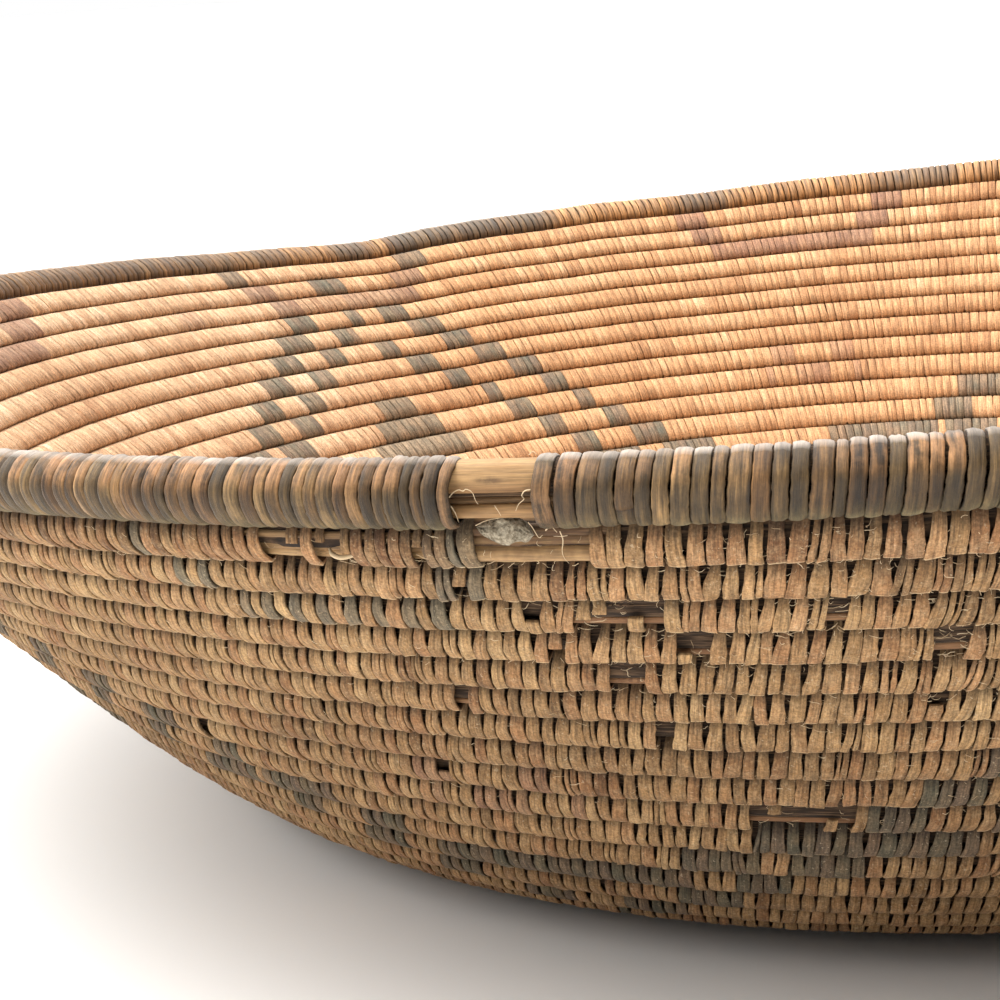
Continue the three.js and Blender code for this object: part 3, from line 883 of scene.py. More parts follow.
# single stitches there: row, from, to, kind (the upper part only, the lower part only, whole)
LEFT_OVER = [
    (1, -20.62, -20.22, "high"), (1, -19.66, -19.28, "high"), (1, -18.56, -18.20, "high"),
    (1, -16.10, -15.76, "high"), (3, -12.15, -10.85, "high"),
    (3, -9.70, -9.28, "low"), (4, -8.42, -8.18, "low"),
    (10, -7.9, -7.6, "high"), (10, -5.2, -4.95, "low"),
]


def left_over(k, th, kind):
    t = (th + 180) % 360 - 180
    out = np.zeros(len(t), bool)
    for row, a, b, what in LEFT_OVER:
        if row == k and what == kind:
            hit = np.flatnonzero((t > a) & (t < b))
            if len(hit) == 0 and b - a < 0.6:
                hit = [int(np.argmin(np.abs(t - (a + b) / 2)))]
            out[hit] = True
    return out


def worn(k, th):
    t = (th + 180) % 360 - 180
    out = np.zeros(len(t), bool)
    for row, a, b in WORN:
        if row == k:
            out |= (t > a) & (t < b)
    return out


# how much wider or narrower than the rest the stitches are: angle, width, in the first three rows
WIDER = {
    1: ([-60, -40, -24, -19, -18.5, -14.7, -14.2, -9.8, 0, 8, 20], [1, 0.96, 0.94, 0.92, 0.80, 0.80, 1.0, 1.12, 1.16, 1.12, 1]),
    2: ([-60, -24, -14, -10, 0, 8, 20], [1, 1.0, 1.03, 1.13, 1.12, 1.08, 1]),
    3: ([-60, -24, -14, -10, 0, 20], [1, 1.0, 1.0, 1.07, 1.03, 1]),
}


def wider(k, theta):
    t = (np.asarray(theta, float) + 180) % 360 - 180
    return np.interp(t, *WIDER[k]) if k in WIDER else np.ones_like(t)


def walk(phi0, phi1, pitch, k):
    ph = np.linspace(phi0, phi1, 1500 if k > 3 else 6000)
    f = coil(ph)
    arc = (f["r"][1:] + f["r"][:-1]) / 2 * np.radians(np.diff(ph)) / wider(k, (f["th"][1:] + f["th"][:-1]) / 2)
    arc = np.concatenate([[0], np.cumsum(arc)])
    n = max(3, int(round(arc[-1] / pitch)))
    gaps = 1 + 0.10 * rng.standard_normal(n)
    at = np.cumsum(gaps) - gaps / 2
    at = at / gaps.sum() * arc[-1]
    return np.interp(at, arc, ph), gaps


front_fibres = []  # places where a stitch is torn: frames to hang fibres from
count = 0
for k in range(1, TURNS + 1):
    build = Build()
    start = -31.0 if k == 1 else 360.0 * (k - 1)
    phi, gaps = walk(start, 360.0 * k, 1.535, k)
    f = coil(phi)
    n = len(phi)
    p = numbers(f, n, True)
    p["half"] = p["half"] * np.clip(gaps, 0.85, 1.15) * wider(k, f["th"])
    num = np.arange(n) + k * 7
    p["dye"], p["hue"] = pattern(f["s"], f["th"], num)
    p["dye"] = p["dye"] * np.clip(1 - 0.07 * np.abs(rng.standard_normal(n)), 0.3, 1)
    t = (f["th"] + 180) % 360 - 180
    if k == 1:  # beside the notch: a broad grey slat, then a torn reddish one, then grey-green ones
        i = int(np.argmin(np.abs(t + 14.3)))
        p["half"][i], p["lean"][i], p["top"][i], p["bend"][i], p["side"][i] = 0.80, 0.04, 0.97, 0.0, 0.12
        p["dye"][i], p["hue"][i], p["own"][i] = 0.55, 1.0, 0.0
        p["own"][i - 1], p["tint"][i - 1], p["half"][i - 1], p["side"][i - 1] = 1.0, 0.30, 0.42, -0.1
        p["dye"][i - 3:i - 1], p["hue"][i - 3:i - 1] = 0.35, 1.0
    high = (t > -44) & (t < 9) & (k <= 17)
    gone = worn(k, f["th"]) if k < 12 else np.zeros(n, bool)
    u = rng.uniform(0, 1, n)
    lots = high & (k <= 12)
    rough_row = (k <= 4) & (t > -18)
    split = lots & ~gone & (u < np.where(rough_row, 0.17, 0.05))
    stub_low = lots & ~gone & (u > 0.985) & (u < np.where(rough_row, 0.996, 0.987)) & (k > 1)
    stub_high = lots & ~gone & (u >= 0.970) & (u < np.where(rough_row, 0.984, 0.973)) & (k > 1)
    lost = lots & ~gone & (u >= 0.9975) & (k > 1)
    if k < 12:
        more_high, more_low = left_over(k, f["th"], "high"), left_over(k, f["th"], "low")
        stub_high = (stub_high & ~more_low) | more_high
        stub_low = (stub_low & ~more_high) | more_low
        split, lost = split & ~(more_high | more_low), lost & ~(more_high | more_low)
        gone = gone & ~(more_high | more_low)
    far_lost = ~high & (k < 20) & (u > 0.9990) & (t > -90) & (t < 90)
    whole = ~(gone | split | stub_low | stub_high | lost | far_lost)
    sub = lambda m: {q: v[m] for q, v in f.items()}
    for m, stn, sec, fl in ((whole & high, HIGH, SEC_HIGH, FLAT_HIGH),
                            (whole & ~high, LOW, SEC_LOW, FLAT_LOW)):
        stitches(build, sub(m), stn, sec, fl, pick(p, m))
    # split stitches: two strands
    ps = pick(p, split)
    ns = int(split.sum())
    if ns:
        part = rng.uniform(0.32, 0.68, ns)
        open_ = rng.uniform(0.03, 0.16, ns)
        for side in (-1, 1):
            q = {a: b.copy() for a, b in ps.items()}
            share = part if side < 0 else 1 - part
            q["half"] = ps["half"] * share - open_ * 0.25
            q["side"] = side * ps["half"] * (1 - share) + side * open_ * 0.3
            q["lean"] = ps["lean"] + side * rng.uniform(-0.05, 0.035, ns)
            q["drop"] = ps["drop"] + 0.10 * rng.standard_normal(ns)
            q["lift"] = ps["lift"] + 0.06 * rng.standard_normal(ns)
            q["tint"] = np.clip(ps["tint"] + 0.07 * rng.standard_normal(ns), 0, 1)
            q["uo"] = rng.uniform(0, 300, ns)
            q["bend"] = ps["bend"] + side * rng.uniform(-0.03, 0.10, ns)
            stitches(build, sub(split), HIGH, SEC_HIGH, FLAT_HIGH, q)
    # stubs: the lower or the upper part only
    for m, lo, hi in ((stub_low, (3.6, 5.2), (12.0, 12.0)), (stub_high, (-1.0, -1.0), (3.2, 5.2))):
        c = int(m.sum())
        if c:
            a = rng.uniform(*lo, c)
            b = rng.uniform(*hi, c)
            stn = a[:, None] + (b - a)[:, None] * np.linspace(0, 1, 13)[None, :]
            q = pick(p, m)
            q["rag"][:] = 0.3
            stitches(build, sub(m), stn, SEC_HIGH, FLAT_HIGH, q, closed=False)
    for m in (stub_low, stub_high, lost):
        if m.any():
            front_fibres.append((k, sub(m)))
    name = "stitches_%02d" % k
    build.make(name, STITCH, ["coil_%02d" % (TURNS + 1 - k)])
    count += n
print("stitches", count)

# ---- the start of the coil: a knot of stitches over the middle
build = Build()
n = 9
ang = np.arange(n) * 360.0 / n
rr = BASE_RADIUS - (upper(np.array([360.0 * TURNS]))[0] - WALL_ARC)
f = dict(r=np.full(n, 0.5 * rr), z=np.full(n, THICK / 2), a=np.zeros(n), wide=np.full(n, rr * 0.92),
         s=np.full(n, 34.0), th=ang)
p = numbers(f, n, False)
p["dye"], p["hue"] = np.zeros(n), np.zeros(n)
p["half"][:] = 2.6
p["lean"][:] = 0.05
p["top"][:] = 1.0
stitches(build, f, LOW, SEC_LOW, FLAT_LOW, p)
n = 5
ang = np.arange(n) * 67.0
f = dict(r=np.full(n, 0.6), z=np.full(n, THICK / 2 - 0.05), a=np.zeros(n), wide=np.full(n, rr * 0.9),
         s=np.full(n, 34.0), th=ang)
p = numbers(f, n, False)
p["dye"], p["hue"] = np.zeros(n), np.zeros(n)
p["half"][:] = 1.6
p["lean"][:] = 0.0
p["top"][:] = 1.0
stitches(build, f, LOW, SEC_LOW, FLAT_LOW, p)
build.make("start_knot", STITCH, ["center_start"])

# ------------------------------------------------------------------ rods inside the coil
def swept(build, f, px, py, tint, bare, wear=0.0, dirt_and_shade=0.0, closed=False, side=None, hue=0.0):
    """One body: the section points px, py (M, Q) at the frames f (M)."""
    M, Q = px.shape
    co = world(f, px[:, ::-1], py[:, ::-1])[None]
    seg = np.linalg.norm(np.diff(co[0].mean(1), axis=0), axis=1)
    if closed:
        seg = np.append(seg, np.linalg.norm(co[0, 0].mean(0) - co[0, -1].mean(0)))
    else:
        seg = np.append(seg, 0.0)
    vv = np.concatenate([[0], np.cumsum(seg)])[None] + rng.uniform(0, 200)
    d = np.hypot(np.diff(px[0]), np.diff(py[0]))
    per = np.concatenate([[0], np.cumsum(np.append(d, np.hypot(px[0, 0] - px[0, -1], py[0, 0] - py[0, -1])))])
    uu = np.broadcast_to(per + rng.uniform(0, 200), (1, M, Q + 1))
    shape = (1, M, Q)
    full = lambda v: np.broadcast_to(np.asarray(v, float).reshape((1, -1, 1) if np.ndim(v) else (1, 1, 1)), shape)
    inside = np.broadcast_to(side, shape) if side is not None else full(0.0)
    st = np.stack([full(tint), full(bare), full(hue), inside], -1)
    ed = np.stack([full(dirt_and_shade), full(0.0), full(wear), full(rng.uniform())], -1)
    build.grid(co, uu, vv, st, ed, (), closed)


def circle(q):
    a = np.arange(q) * 2 * math.pi / q
    return np.cos(a), np.sin(a)


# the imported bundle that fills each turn, lobed where its rods lie
lobe = np.array([
    (2.15, 0.15), (1.95, 0.85), (1.25, 1.15), (0.75, 1.55), (0.05, 1.75), (-0.60, 1.50),
    (-1.00, 1.45), (-1.65, 1.15), (-1.90, 0.35), (-2.05, -0.60), (-1.55, -1.75), (-0.65, -2.10),
    (-0.10, -2.05), (0.75, -2.15), (1.60, -1.75), (1.90, -1.00),
])
build = Build()
for k in range(1, TURNS + 1):
    start = -30.0 if k == 1 else 360.0 * (k - 1)
    r_here = float(coil(np.array([360.0 * (k - 0.5)]))["r"][0])
    step = 4.0 if r_here > 60 else 8.0
    ph = np.linspace(start, 360.0 * k, int((360.0 * k - start) / step) + 1)
    f = coil(ph)
    g = (f["wide"] / PITCH)[:, None]
    wob = 1 + 0.03 * noise3(np.stack([ph * 0.2, ph * 0 + k, ph * 0], -1), 9)[:, None]
    # not bare: its outer side takes the rods' near-black painted shade, its inner side a plain tan
    swept(build, f, lobe[None, :, 0] * g * wob, lobe[None, :, 1] * wob * np.ones_like(g), 0.4, 0.0,
          side=(lobe[::-1, 1] < -0.4).astype(float))
build.make("foundation_bundle", ROD, (), tall=40.0)

# the rods that show in the worn places
build = Build()
for row, a, b in WORN + [(3, -12.3, -10.7)]:
    if row == 1 and a < -13.5 and b > -10.5:
        continue
    th = np.linspace(a - 0.9, b + 0.9, max(8, int((b - a + 1.8) / 0.2)))
    f = coil(row_phi(row, th))
    pale_row = row == 1
    # strands with low bare sit deeper and take the near-black painted shade colour
    strands = [
        (-1.00, 1.52, 0.50, 0.55, 0.95, 0.05) if pale_row else (-1.05, 1.45, 0.40, 0.50, 0.85, 0.80),
        (-0.15, 1.42, 0.42, 0.45, 0.80, 0.10) if pale_row else (-0.20, 1.15, 0.36, 0.30, 0.05, 0.5),
        (0.70, 1.05, 0.46, 0.20, 0.06, 0.5) if pale_row else (0.60, 1.05, 0.46, 0.20, 0.03, 0.5),
        (1.45, 1.20, 0.40, 0.40, 0.55, 0.10) if pale_row else (1.50, 0.85, 0.50, 0.20, 0.02, 0.5),
        (-1.85, 0.95, 0.46, 0.45, 0.45 if pale_row else 0.20, 0.6),
    ]
    for x, y, rad, tint, bare, hue in strands:
        cx, cy = circle(10)
        drift = 0.10 * noise_at(24, th * 0.6, 0 * th + row, 0 * th + x)[:, None]
        rough = 1 + 0.10 * noise_at(21, th[:, None] * 2, cx[None] * 2 + row, cy[None] * 2 + x)
        swept(build, f, x + drift + 1.15 * rad * cx[None] * rough, y + drift * 0.6 + 0.7 * rad * cy[None] * rough,
              tint + rng.uniform(-0.1, 0.1), bare, hue=hue)
# the long worn stretch under the break; its rods with low bare are darkened with painted shade
th = np.linspace(-14.35, -9.45, 64)
f = coil(row_phi(1, th))
for x, y, rad, tint, bare, stain in ((-0.42, 1.64, 0.83, 0.90, 1.0, 0.30), (0.95, 1.02, 0.60, 0.40, 0.50, 0.5),
                                     (-1.75, 0.75, 0.62, 0.2, 0.2, 0.5), (1.9, 0.8, 0.55, 0.2, 0.16, 0.5)):
    cx, cy = circle(18)
    rough = 1 + 0.05 * noise_at(22, th[:, None] * 0.8, cx[None] * 3 + y, cy[None] * 3)
    rough = rough + 0.05 * noise_at(23, th[:, None] * 2.5, cx[None] * 8 + y, cy[None] * 8)
    swept(build, f, x + rad * cx[None] * rough, y + rad * cy[None] * rough, tint, bare, wear=stain, hue=0.12)
# a split sliver along its lower edge
cut = slice(6, 30)
f_cut = {q: v[cut] for q, v in f.items()}
cx, cy = circle(8)
thin = 0.10 * np.sin(np.linspace(0.15, math.pi - 0.1, 24))[:, None]
swept(build, f_cut, -1.52 + thin * cx[None] * 1.3, 1.86 + thin * cy[None], 0.9, 1.0)
build.make("worn_row_rods", ROD, ["worn_row_rod"], tall=20.0)

# rim rods: finer where the break shows them
fine_th = np.concatenate([np.arange(-16.0, -9.4, 0.12), np.arange(-9.4, 344.0, 2.0)])
for name, node, x, y, rad, tint, wear_at in (
    ("rim_rod_upper", "rim_rod_top", 1.53, -0.72, 1.48, 0.95, 1),
    ("rim_rod_lower", "rim_rod_outer", -1.30, 0.98, 0.66, 0.55, 0),
    ("rim_rod_hidden", "rim_rod_inner", -1.30, -0.95, 0.90, 0.40, 0),
):
    build = Build()
    f = rim(fine_th)
    cx, cy = circle(36)
    T = fine_th[:, None] + 0 * cx[None]
    rough = 1 + 0.022 * noise_at(31, T * 0.25, cx[None] * 2.2 + 5, cy[None] * 2.2)
    rough = rough + 0.014 * noise_at(32, T * 0.6, cx[None] * 7, cy[None] * 7)
    wr = 0 * T
    if wear_at:  # a dark smudge on the face of the top rod, and a small knot near its upper edge
        round_at = np.arctan2(cy, cx)[None] + 0 * T
        for at, wide, angle, tall, deep in ((-12.72, 0.34, 0.90, 0.17, 1.0), (-12.95, 0.13, 0.86, 0.13, 1.0),
                                            (-12.45, 0.07, -0.42, 0.12, 1.0)):
            wr = np.maximum(wr, deep * np.exp(-((T - at) / wide) ** 2 - ((round_at - angle) / tall) ** 2))
    M = len(fine_th)
    px, py = x + rad * cx[None] * rough, y + rad * cy[None] * rough
    co = world(f, px[:, ::-1], py[:, ::-1])[None]
    seg = np.append(np.linalg.norm(np.diff(co[0].mean(1), axis=0), axis=1), 5.0)
    vv = np.concatenate([[0], np.cumsum(seg)])[None]
    uu = np.broadcast_to(np.arange(37) * rad * 2 * math.pi / 36 + rng.uniform(0, 90), (1, M, 37))
    shape = (1, M, 36)
    bare = ((fine_th > BREAK[0] - 0.25) & (fine_th < BREAK[1] + 0.25)).astype(float)
    bare = np.broadcast_to(bare[None, :, None], shape)
    st = four(tint, bare, 0.0, 0.0, shape)
    ed = four(0.55 * wr[None, :, ::-1], 0.0, wr[None, :, ::-1], 0.5, shape)
    st[..., 2] = 0.10 if wear_at else 0.25
    if wear_at:  # palest along its top, browner low down
        # painted light and shade: palest along its top, browner low down
        ring = np.arctan2(cy, cx)[None] + 0 * T
        st[..., 0] = np.interp(ring, [-0.9, -0.2, 0.7, 1.5, 2.1], [0.98, 0.88, 0.72, 0.50, 0.34])[None, :, ::-1]
        st[..., 2] = np.interp(ring, [-0.9, 0.3, 1.0, 2.1], [0.22, 0.14, 0.18, 0.38])[None, :, ::-1]
    build.grid(co, uu, vv, st, ed, (), True)
    build.make(name, ROD, [node], tall=60.0)

# the frayed strands that lie between the rim rods, seen in the break; their low bare darkens them with painted shade
build = Build()
th = np.linspace(-15.2, -10.2, 80)
f = rim(th)
for x, y, rad, tint, bare in ((-0.66, 0.30, 0.36, 0.25, 0.42), (-0.20, -0.10, 0.34, 0.1, 0.12), (-0.95, 0.42, 0.20, 0.45, 0.6),
                              (-1.98, 0.70, 0.22, 0.3, 0.45)):
    cx, cy = circle(12)
    drift = 0.05 * noise_at(61, th * 0.7, 0 * th + x, 0 * th)[:, None]
    rough = 1 + 0.12 * noise_at(62, th[:, None] * 1.6, cx[None] * 3 + x, cy[None] * 3)
    swept(build, f, x + drift + rad * cx[None] * rough, y + drift + rad * cy[None] * rough, tint, bare, hue=0.2)
build.make("rim_strands", ROD, (), tall=20.0)

# ------------------------------------------------------------------ rim wraps
RIM_X = 3.42
RIM_PATH = [
    (3.42, 0.00), (3.25, 1.15), (2.75, 1.95), (1.90, 2.45), (0.80, 2.72), (-0.40, 2.78),
    (-1.45, 2.55), (-2.20, 2.16), (-2.50, 1.86), (-2.68, 1.35), (-3.00, 0.40), (-3.20, -0.70),
    (-2.85, -1.75), (-1.90, -2.45), (-0.40, -2.78), (1.20, -2.70), (2.50, -2.10), (3.22, -1.10),
]
_rc, _ri = spline(RIM_PATH)


def rim_way(c):
    """c: 0..1 round the rim, from its top edge down outside, under, and up inside."""
    c = np.asarray(c) * 18.0
    return (np.interp(c, np.append(_ri, 18.0), np.append(_rc[:, 0], _rc[0, 0])),
            np.interp(c, np.append(_ri, 18.0), np.append(_rc[:, 1], _rc[0, 1])))


build = Build()
span = 360.0 - (BREAK[1] - BREAK[0])
over = 0.13  # the wraps beside the break have slid this far into it, degrees
spread = np.linspace(BREAK[1] - over, BREAK[1] + span + over, 20001)
CLOSER = ([-60, -30, -22, -20, -13, -11, -3, 4], [1.0, 0.98, 0.96, 0.87, 0.87, 1.10, 1.08, 1.0])
share = 1 / np.interp((spread + 180) % 360 - 180, *CLOSER)
share = np.concatenate([[0], np.cumsum((share[1:] + share[:-1]) / 2 * np.diff(spread))])
N = int(round(np.radians(share[-1]) * RIM_RADIUS / 1.52))
gaps = np.clip(1 + 0.15 * rng.standard_normal(N), 0.66, 1.4)
gaps[0], gaps[-1] = 1.12, 0.85
at = np.cumsum(gaps) - gaps / 2
th = np.interp(at / gaps.sum() * share[-1], share, spread)
f = rim(th)
half = 0.5 * 1.52 * np.clip(gaps, 0.72, 1.35) * np.clip(0.985 + 0.02 * rng.standard_normal(N), 0.92, 1.03)
half = half * np.interp((th + 180) % 360 - 180, *CLOSER)
tt = (th + 180) % 360 - 180
high = (tt > -46) & (tt < 12)
SEC_RIM = np.array([
    (-1.00, -0.28), (-1.00, -0.07), (-0.90, 0.045), (-0.56, 0.130), (-0.16, 0.150), (0.22, 0.140),
    (0.58, 0.090), (0.90, -0.010), (1.0, -0.10), (1.00, -0.28),
])
slow = noise3(np.stack([th * 0.25, 0 * th, 0 * th], -1), 41)
tint = np.clip(0.45 + 0.155 * rng.standard_normal(N) + 0.16 * slow, 0, 1)
own = {k: rng.standard_normal(N) for k in ("lift", "lean", "wob", "low", "bend", "tip")}
ph = rng.uniform(0, 6.28, N)
uo, vo = rng.uniform(0, 300, N), rng.uniform(0, 300, N)
# where the back of the rim is natural (1) or dark (0): degrees
NATURAL = [
    (100, 0.0), (112, 0.0), (113, 0.85), (121, 0.85), (122, 0.1), (128, 0.1), (129, 0.9), (141, 0.9), (142, 0.12),
    (146, 0.12), (147, 0.9), (157, 0.9), (158, 0.15), (163, 0.15), (164, 0.9), (177.4, 0.95), (178.4, 0.28),
    (182.6, 0.28), (183.6, 0.95), (193.6, 0.92), (194.6, 0.28), (197.2, 0.28), (198.2, 0.88), (206.4, 0.88),
    (207.6, 0.08), (219.2, 0.08), (219.9, 0.75), (221.0, 0.75), (221.7, 0.10), (223.4, 0.10), (224.2, 0.62),
    (227.4, 0.62), (228.4, 0.25), (230.2, 0.25), (230.8, 0.45), (231.8, 0.45), (232.5, 0.24), (250, 0.30), (262, 0.20),
    (275, 0.0),
]
turned = th % 360
natural = np.interp(turned, *zip(*NATURAL), left=0, right=0)
natural = np.clip(natural * (1 + 0.12 * rng.standard_normal(N)) * (natural > 0.01), 0, 1)
back = smooth((turned - 100) / 12) * (1 - smooth((turned - 262) / 14))
for m, stn, sec, flat in (
    (high, np.concatenate([np.sort(np.append(np.linspace(0.0, 0.50, 20), 0.215)), [0.56, 0.64, 0.72, 0.79, 0.835, 0.87, 0.90, 0.93, 0.965]]),
     SEC_RIM, (0, 8, 9)),
    (~high, (np.arange(14)) / 14.0, SEC_LOW * np.array([1, 1.5]), (3,)),
):
    c = np.broadcast_to(stn, (int(m.sum()), len(stn)))
    x, y = rim_way(c)
    outer = np.sin(np.clip(c * 2, 0, 1) * math.pi)
    low = ramp01(c, 0.36, 0.47) * (1 - ramp01(c, 0.53, 0.6))
    pr = 1 + 0.012 * own["lift"][m][:, None]
    x = x * pr - 0.09 * own["low"][m][:, None] * low
    y = y * pr
    # one wrap ends short of the rim's lower edge, and one is frayed pale low down
    ends = np.abs(tt[m] + 8.5) <= np.abs(tt[m] + 8.5).min()
    frayed = (np.abs(tt[m] + 17.8) <= np.abs(tt[m] + 17.8).min()) & (len(sec) == 10)
    frayed = frayed[:, None] * ramp01(c, 0.18, 0.25) * (1 - ramp01(c, 0.40, 0.47))
    recess = (ends & (len(sec) == 10))[:, None] * (c > 0.212) * (c < 0.53)
    y = y - 0.25 * recess
    lean = np.where((tt[m] > -11) & (tt[m] < 12), 0.13, 0.10)[:, None] + 0.013 * own["lean"][m][:, None]
    t = -lean * (RIM_X - x) * (c < 0.5) * 1.0
    t = np.where(c < 0.5, lean * (x), lean * x)
    t = t + 0.022 * own["wob"][m][:, None] * np.sin(c * 9 + ph[m][:, None]) + 0.03 * own["bend"][m][:, None] * low
    dx = np.roll(x, -1, 1) - np.roll(x, 1, 1)
    dy = np.roll(y, -1, 1) - np.roll(y, 1, 1)
    ln = np.hypot(dx, dy)
    nx, ny = dy / ln, -dx / ln
    sw, sh = sec[:, 0], sec[:, 1]
    w = half[m][:, None] * (1 - 0.06 * np.cos(c * 2 * math.pi) + 0.05 * low)
    if len(sec) == 10:  # shallow grooves along the wrap, and one edge a little proud of the other
        deep = np.clip(0.02 + 0.025 * own["wob"][m], 0.0, 0.07)[:, None, None]
        groove = deep * np.sin(sw * 6.5 + ph[m][:, None, None] * 2)
        # left of the break each wrap stands higher on its left side
        tilt = np.interp(tt[m], [-16, -12], [0.105, 0.030]) + 0.030 * own["tip"][m]
        sh = sh + groove * (np.abs(sw) < 0.9) - tilt[:, None, None] * sw
    X = x[..., None] + nx[..., None] * sh
    Y = y[..., None] + ny[..., None] * sh
    T = t[..., None] + w[..., None] * sw
    if len(sec) == 10:
        for edge_at in (-1, 1):
            T = T + (0.030 * rng.standard_normal(w.shape))[..., None] * (sw * edge_at > 0.85)
    sf = {q: v[m] for q, v in f.items()}
    co = world(sf, X, Y, T)
    n, M, Q = X.shape
    uu = w[..., None] * np.append(sw, sw[0]) + uo[m][:, None, None]
    seg = np.hypot(np.roll(x, -1, 1) - x, np.roll(y, -1, 1) - y)
    vv = np.concatenate([np.zeros((n, 1)), np.cumsum(seg, 1)], 1) + vo[m][:, None]
    # the grain runs on over the top and breaks underneath, out of sight
    vv = vv - (vv[:, -1:] - vv[:, :1]) * (np.arange(M + 1) > (21 if len(sec) == 10 else 7))
    shape = (n, M, Q)
    # painted white highlight along the top, tan wear just under it, dusty grey low outside
    turn = (c + 0.5) % 1.0 - 0.5  # 0 at the top outside, negative inside
    sheen = ramp01(turn, -0.155, -0.115) * (1 - ramp01(turn, -0.085, -0.035))
    sheen = sheen * np.clip(0.62 + 0.22 * own["low"][m], 0.15, 1.0)[:, None]
    rubbed = ramp01(turn, -0.11, -0.06) * (1 - ramp01(turn, 0.03, 0.13))
    rubbed = rubbed * np.clip(0.42 + 0.45 * own["bend"][m], 0.0, 1.0)[:, None]
    # the two wraps at the break are rubbed all the way down
    beside = np.isin(np.flatnonzero(m), (0, N - 1)).astype(float)[:, None]
    rubbed = np.maximum(rubbed, beside * 0.45 * (c < 0.5))
    dusty = ramp01(c, 0.20, 0.40) * (1 - ramp01(c, 0.55, 0.62))
    dusty = dusty * np.clip(0.75 + 0.2 * own["lift"][m], 0.2, 1.0)[:, None] * (1 - 0.7 * beside)
    tn = tint[m][:, None] + 0.10 * rubbed - 0.10 * ramp01(c, 0.08, 0.2) * (c < 0.5)
    # painted shade: darker underneath, in the recess below the short wrap and on the wraps' sides
    dirt_and_shade = 0.9 * ramp01(c, 0.50, 0.54) * (1 - ramp01(c, 0.60, 0.66))
    dirt_and_shade = np.maximum(dirt_and_shade, recess * np.where(c < 0.216, 1.0, 0.34))
    tn = tn + 0.34 * frayed
    d3 = np.broadcast_to(dirt_and_shade[..., None], shape).copy()
    d3[:, :, np.abs(sw) > 0.985] = np.maximum(d3[:, :, np.abs(sw) > 0.985], 0.8)
    # round the back the rim is sewn in natural splints between short dark stretches
    nat, grey = natural[m][:, None], back[m][:, None]
    # painted highlight kept off the natural splints; inside the dark stretches at the back the same channel gives a
    # paler tone
    sheen = np.maximum(sheen * (1 - 0.8 * nat), 0.17 * grey * (1 - nat) * (c > 0.5)) + 0 * c
    dusty = dusty * (1 - nat)
    st = four(np.clip(tn, 0, 1)[..., None], dusty[..., None], 1.0, (nat + 0 * c)[..., None], shape)
    ed = np.stack([d3, np.broadcast_to(sheen[..., None], shape), np.broadcast_to(rubbed[..., None], shape),
                   np.broadcast_to(ph[m][:, None, None] / 6.28, shape)], -1)
    build.grid(co, uu, vv, st, ed, flat, True)
build.make("rim_wraps", RIM_WRAP, ["rim_binding"], tall=6.0)

# ------------------------------------------------------------------ the lump in the break
build = Build()
M, Q = 46, 64
v = np.linspace(0.02, 0.98, M)
a = np.arange(Q) / Q * 2 * math.pi
along = -np.cos(v * math.pi)  # -1..1 along the rim
girth = np.sqrt(np.clip(1 - along ** 2, 0, 1))
A, V = np.meshgrid(a, v)
AL, G = along[:, None] + 0 * A, girth[:, None] + 0 * A
# its outline as seen: upper and lower edge from the left point to the right end
edge_x = [-1, -0.83, -0.5, -0.2, -0.07, 0.1, 0.35, 0.6, 0.8, 1.0]
upper_h = np.interp(AL, edge_x, [0.45, 0.75, 1.05, 1.25, 1.62, 1.30, 1.22, 1.02, 0.62, -0.1])
lower_h = np.interp(AL, edge_x, [0.25, -0.25, -0.75, -1.15, -1.28, -1.30, -1.02, -0.92, -1.15, -0.7])
U, O = np.sin(A), np.cos(A)
n1 = noise3(np.stack([AL * 2.2, U * 1.6, O * 1.5], -1), 51)
n2 = noise3(np.stack([AL * 7, U * 4.5, O * 2], -1), 52)
n3 = noise3(np.stack([AL * 17, U * 11, O * 4], -1), 53)
round_end = np.clip(1.15 * (1 - np.abs(AL) ** 6), 0.0, 1.0)
across = (upper_h + lower_h) / 2 + (upper_h - lower_h) / 2 * U * round_end * (1 + 0.07 * n2 + 0.03 * n3)
ridge = 1 - 2 * np.abs(n2)
depth = (0.80 * O + (0.16 * n1 + 0.13 * ridge + 0.10 * n3) * (O > -0.3)) * np.clip(round_end, 0.25, 1)
f = dict(r=RIM_RADIUS, z=RIM_Z, a=RIM_SLOPE, th=-12.5)
f = {k: np.full(M, val) for k, val in f.items()}
X = -3.35 + 0.55 * across + 0.835 * depth
Y = 1.75 - 0.835 * across + 0.55 * depth
T = -0.66 + 2.72 * AL
co = world(f, X[:, ::-1], Y[:, ::-1], T[:, ::-1])[None]
vv = np.concatenate([v, [1.0]])[None] * 6
uu = np.broadcast_to(np.arange(Q + 1) * 0.12, (1, M, Q + 1))
shp = (1, M, Q)
build.grid(co, uu, vv, four(0.5, 1, 0, 0, shp), four(np.clip(0.25 - ridge[:, ::-1] - 0.4 * n3[:, ::-1], 0, 1)[None] * 0.7, 0, 0, 0.5, shp), (), False)
build.make("filler_lump", FILLER, ["repair_filler"], tall=1.0)

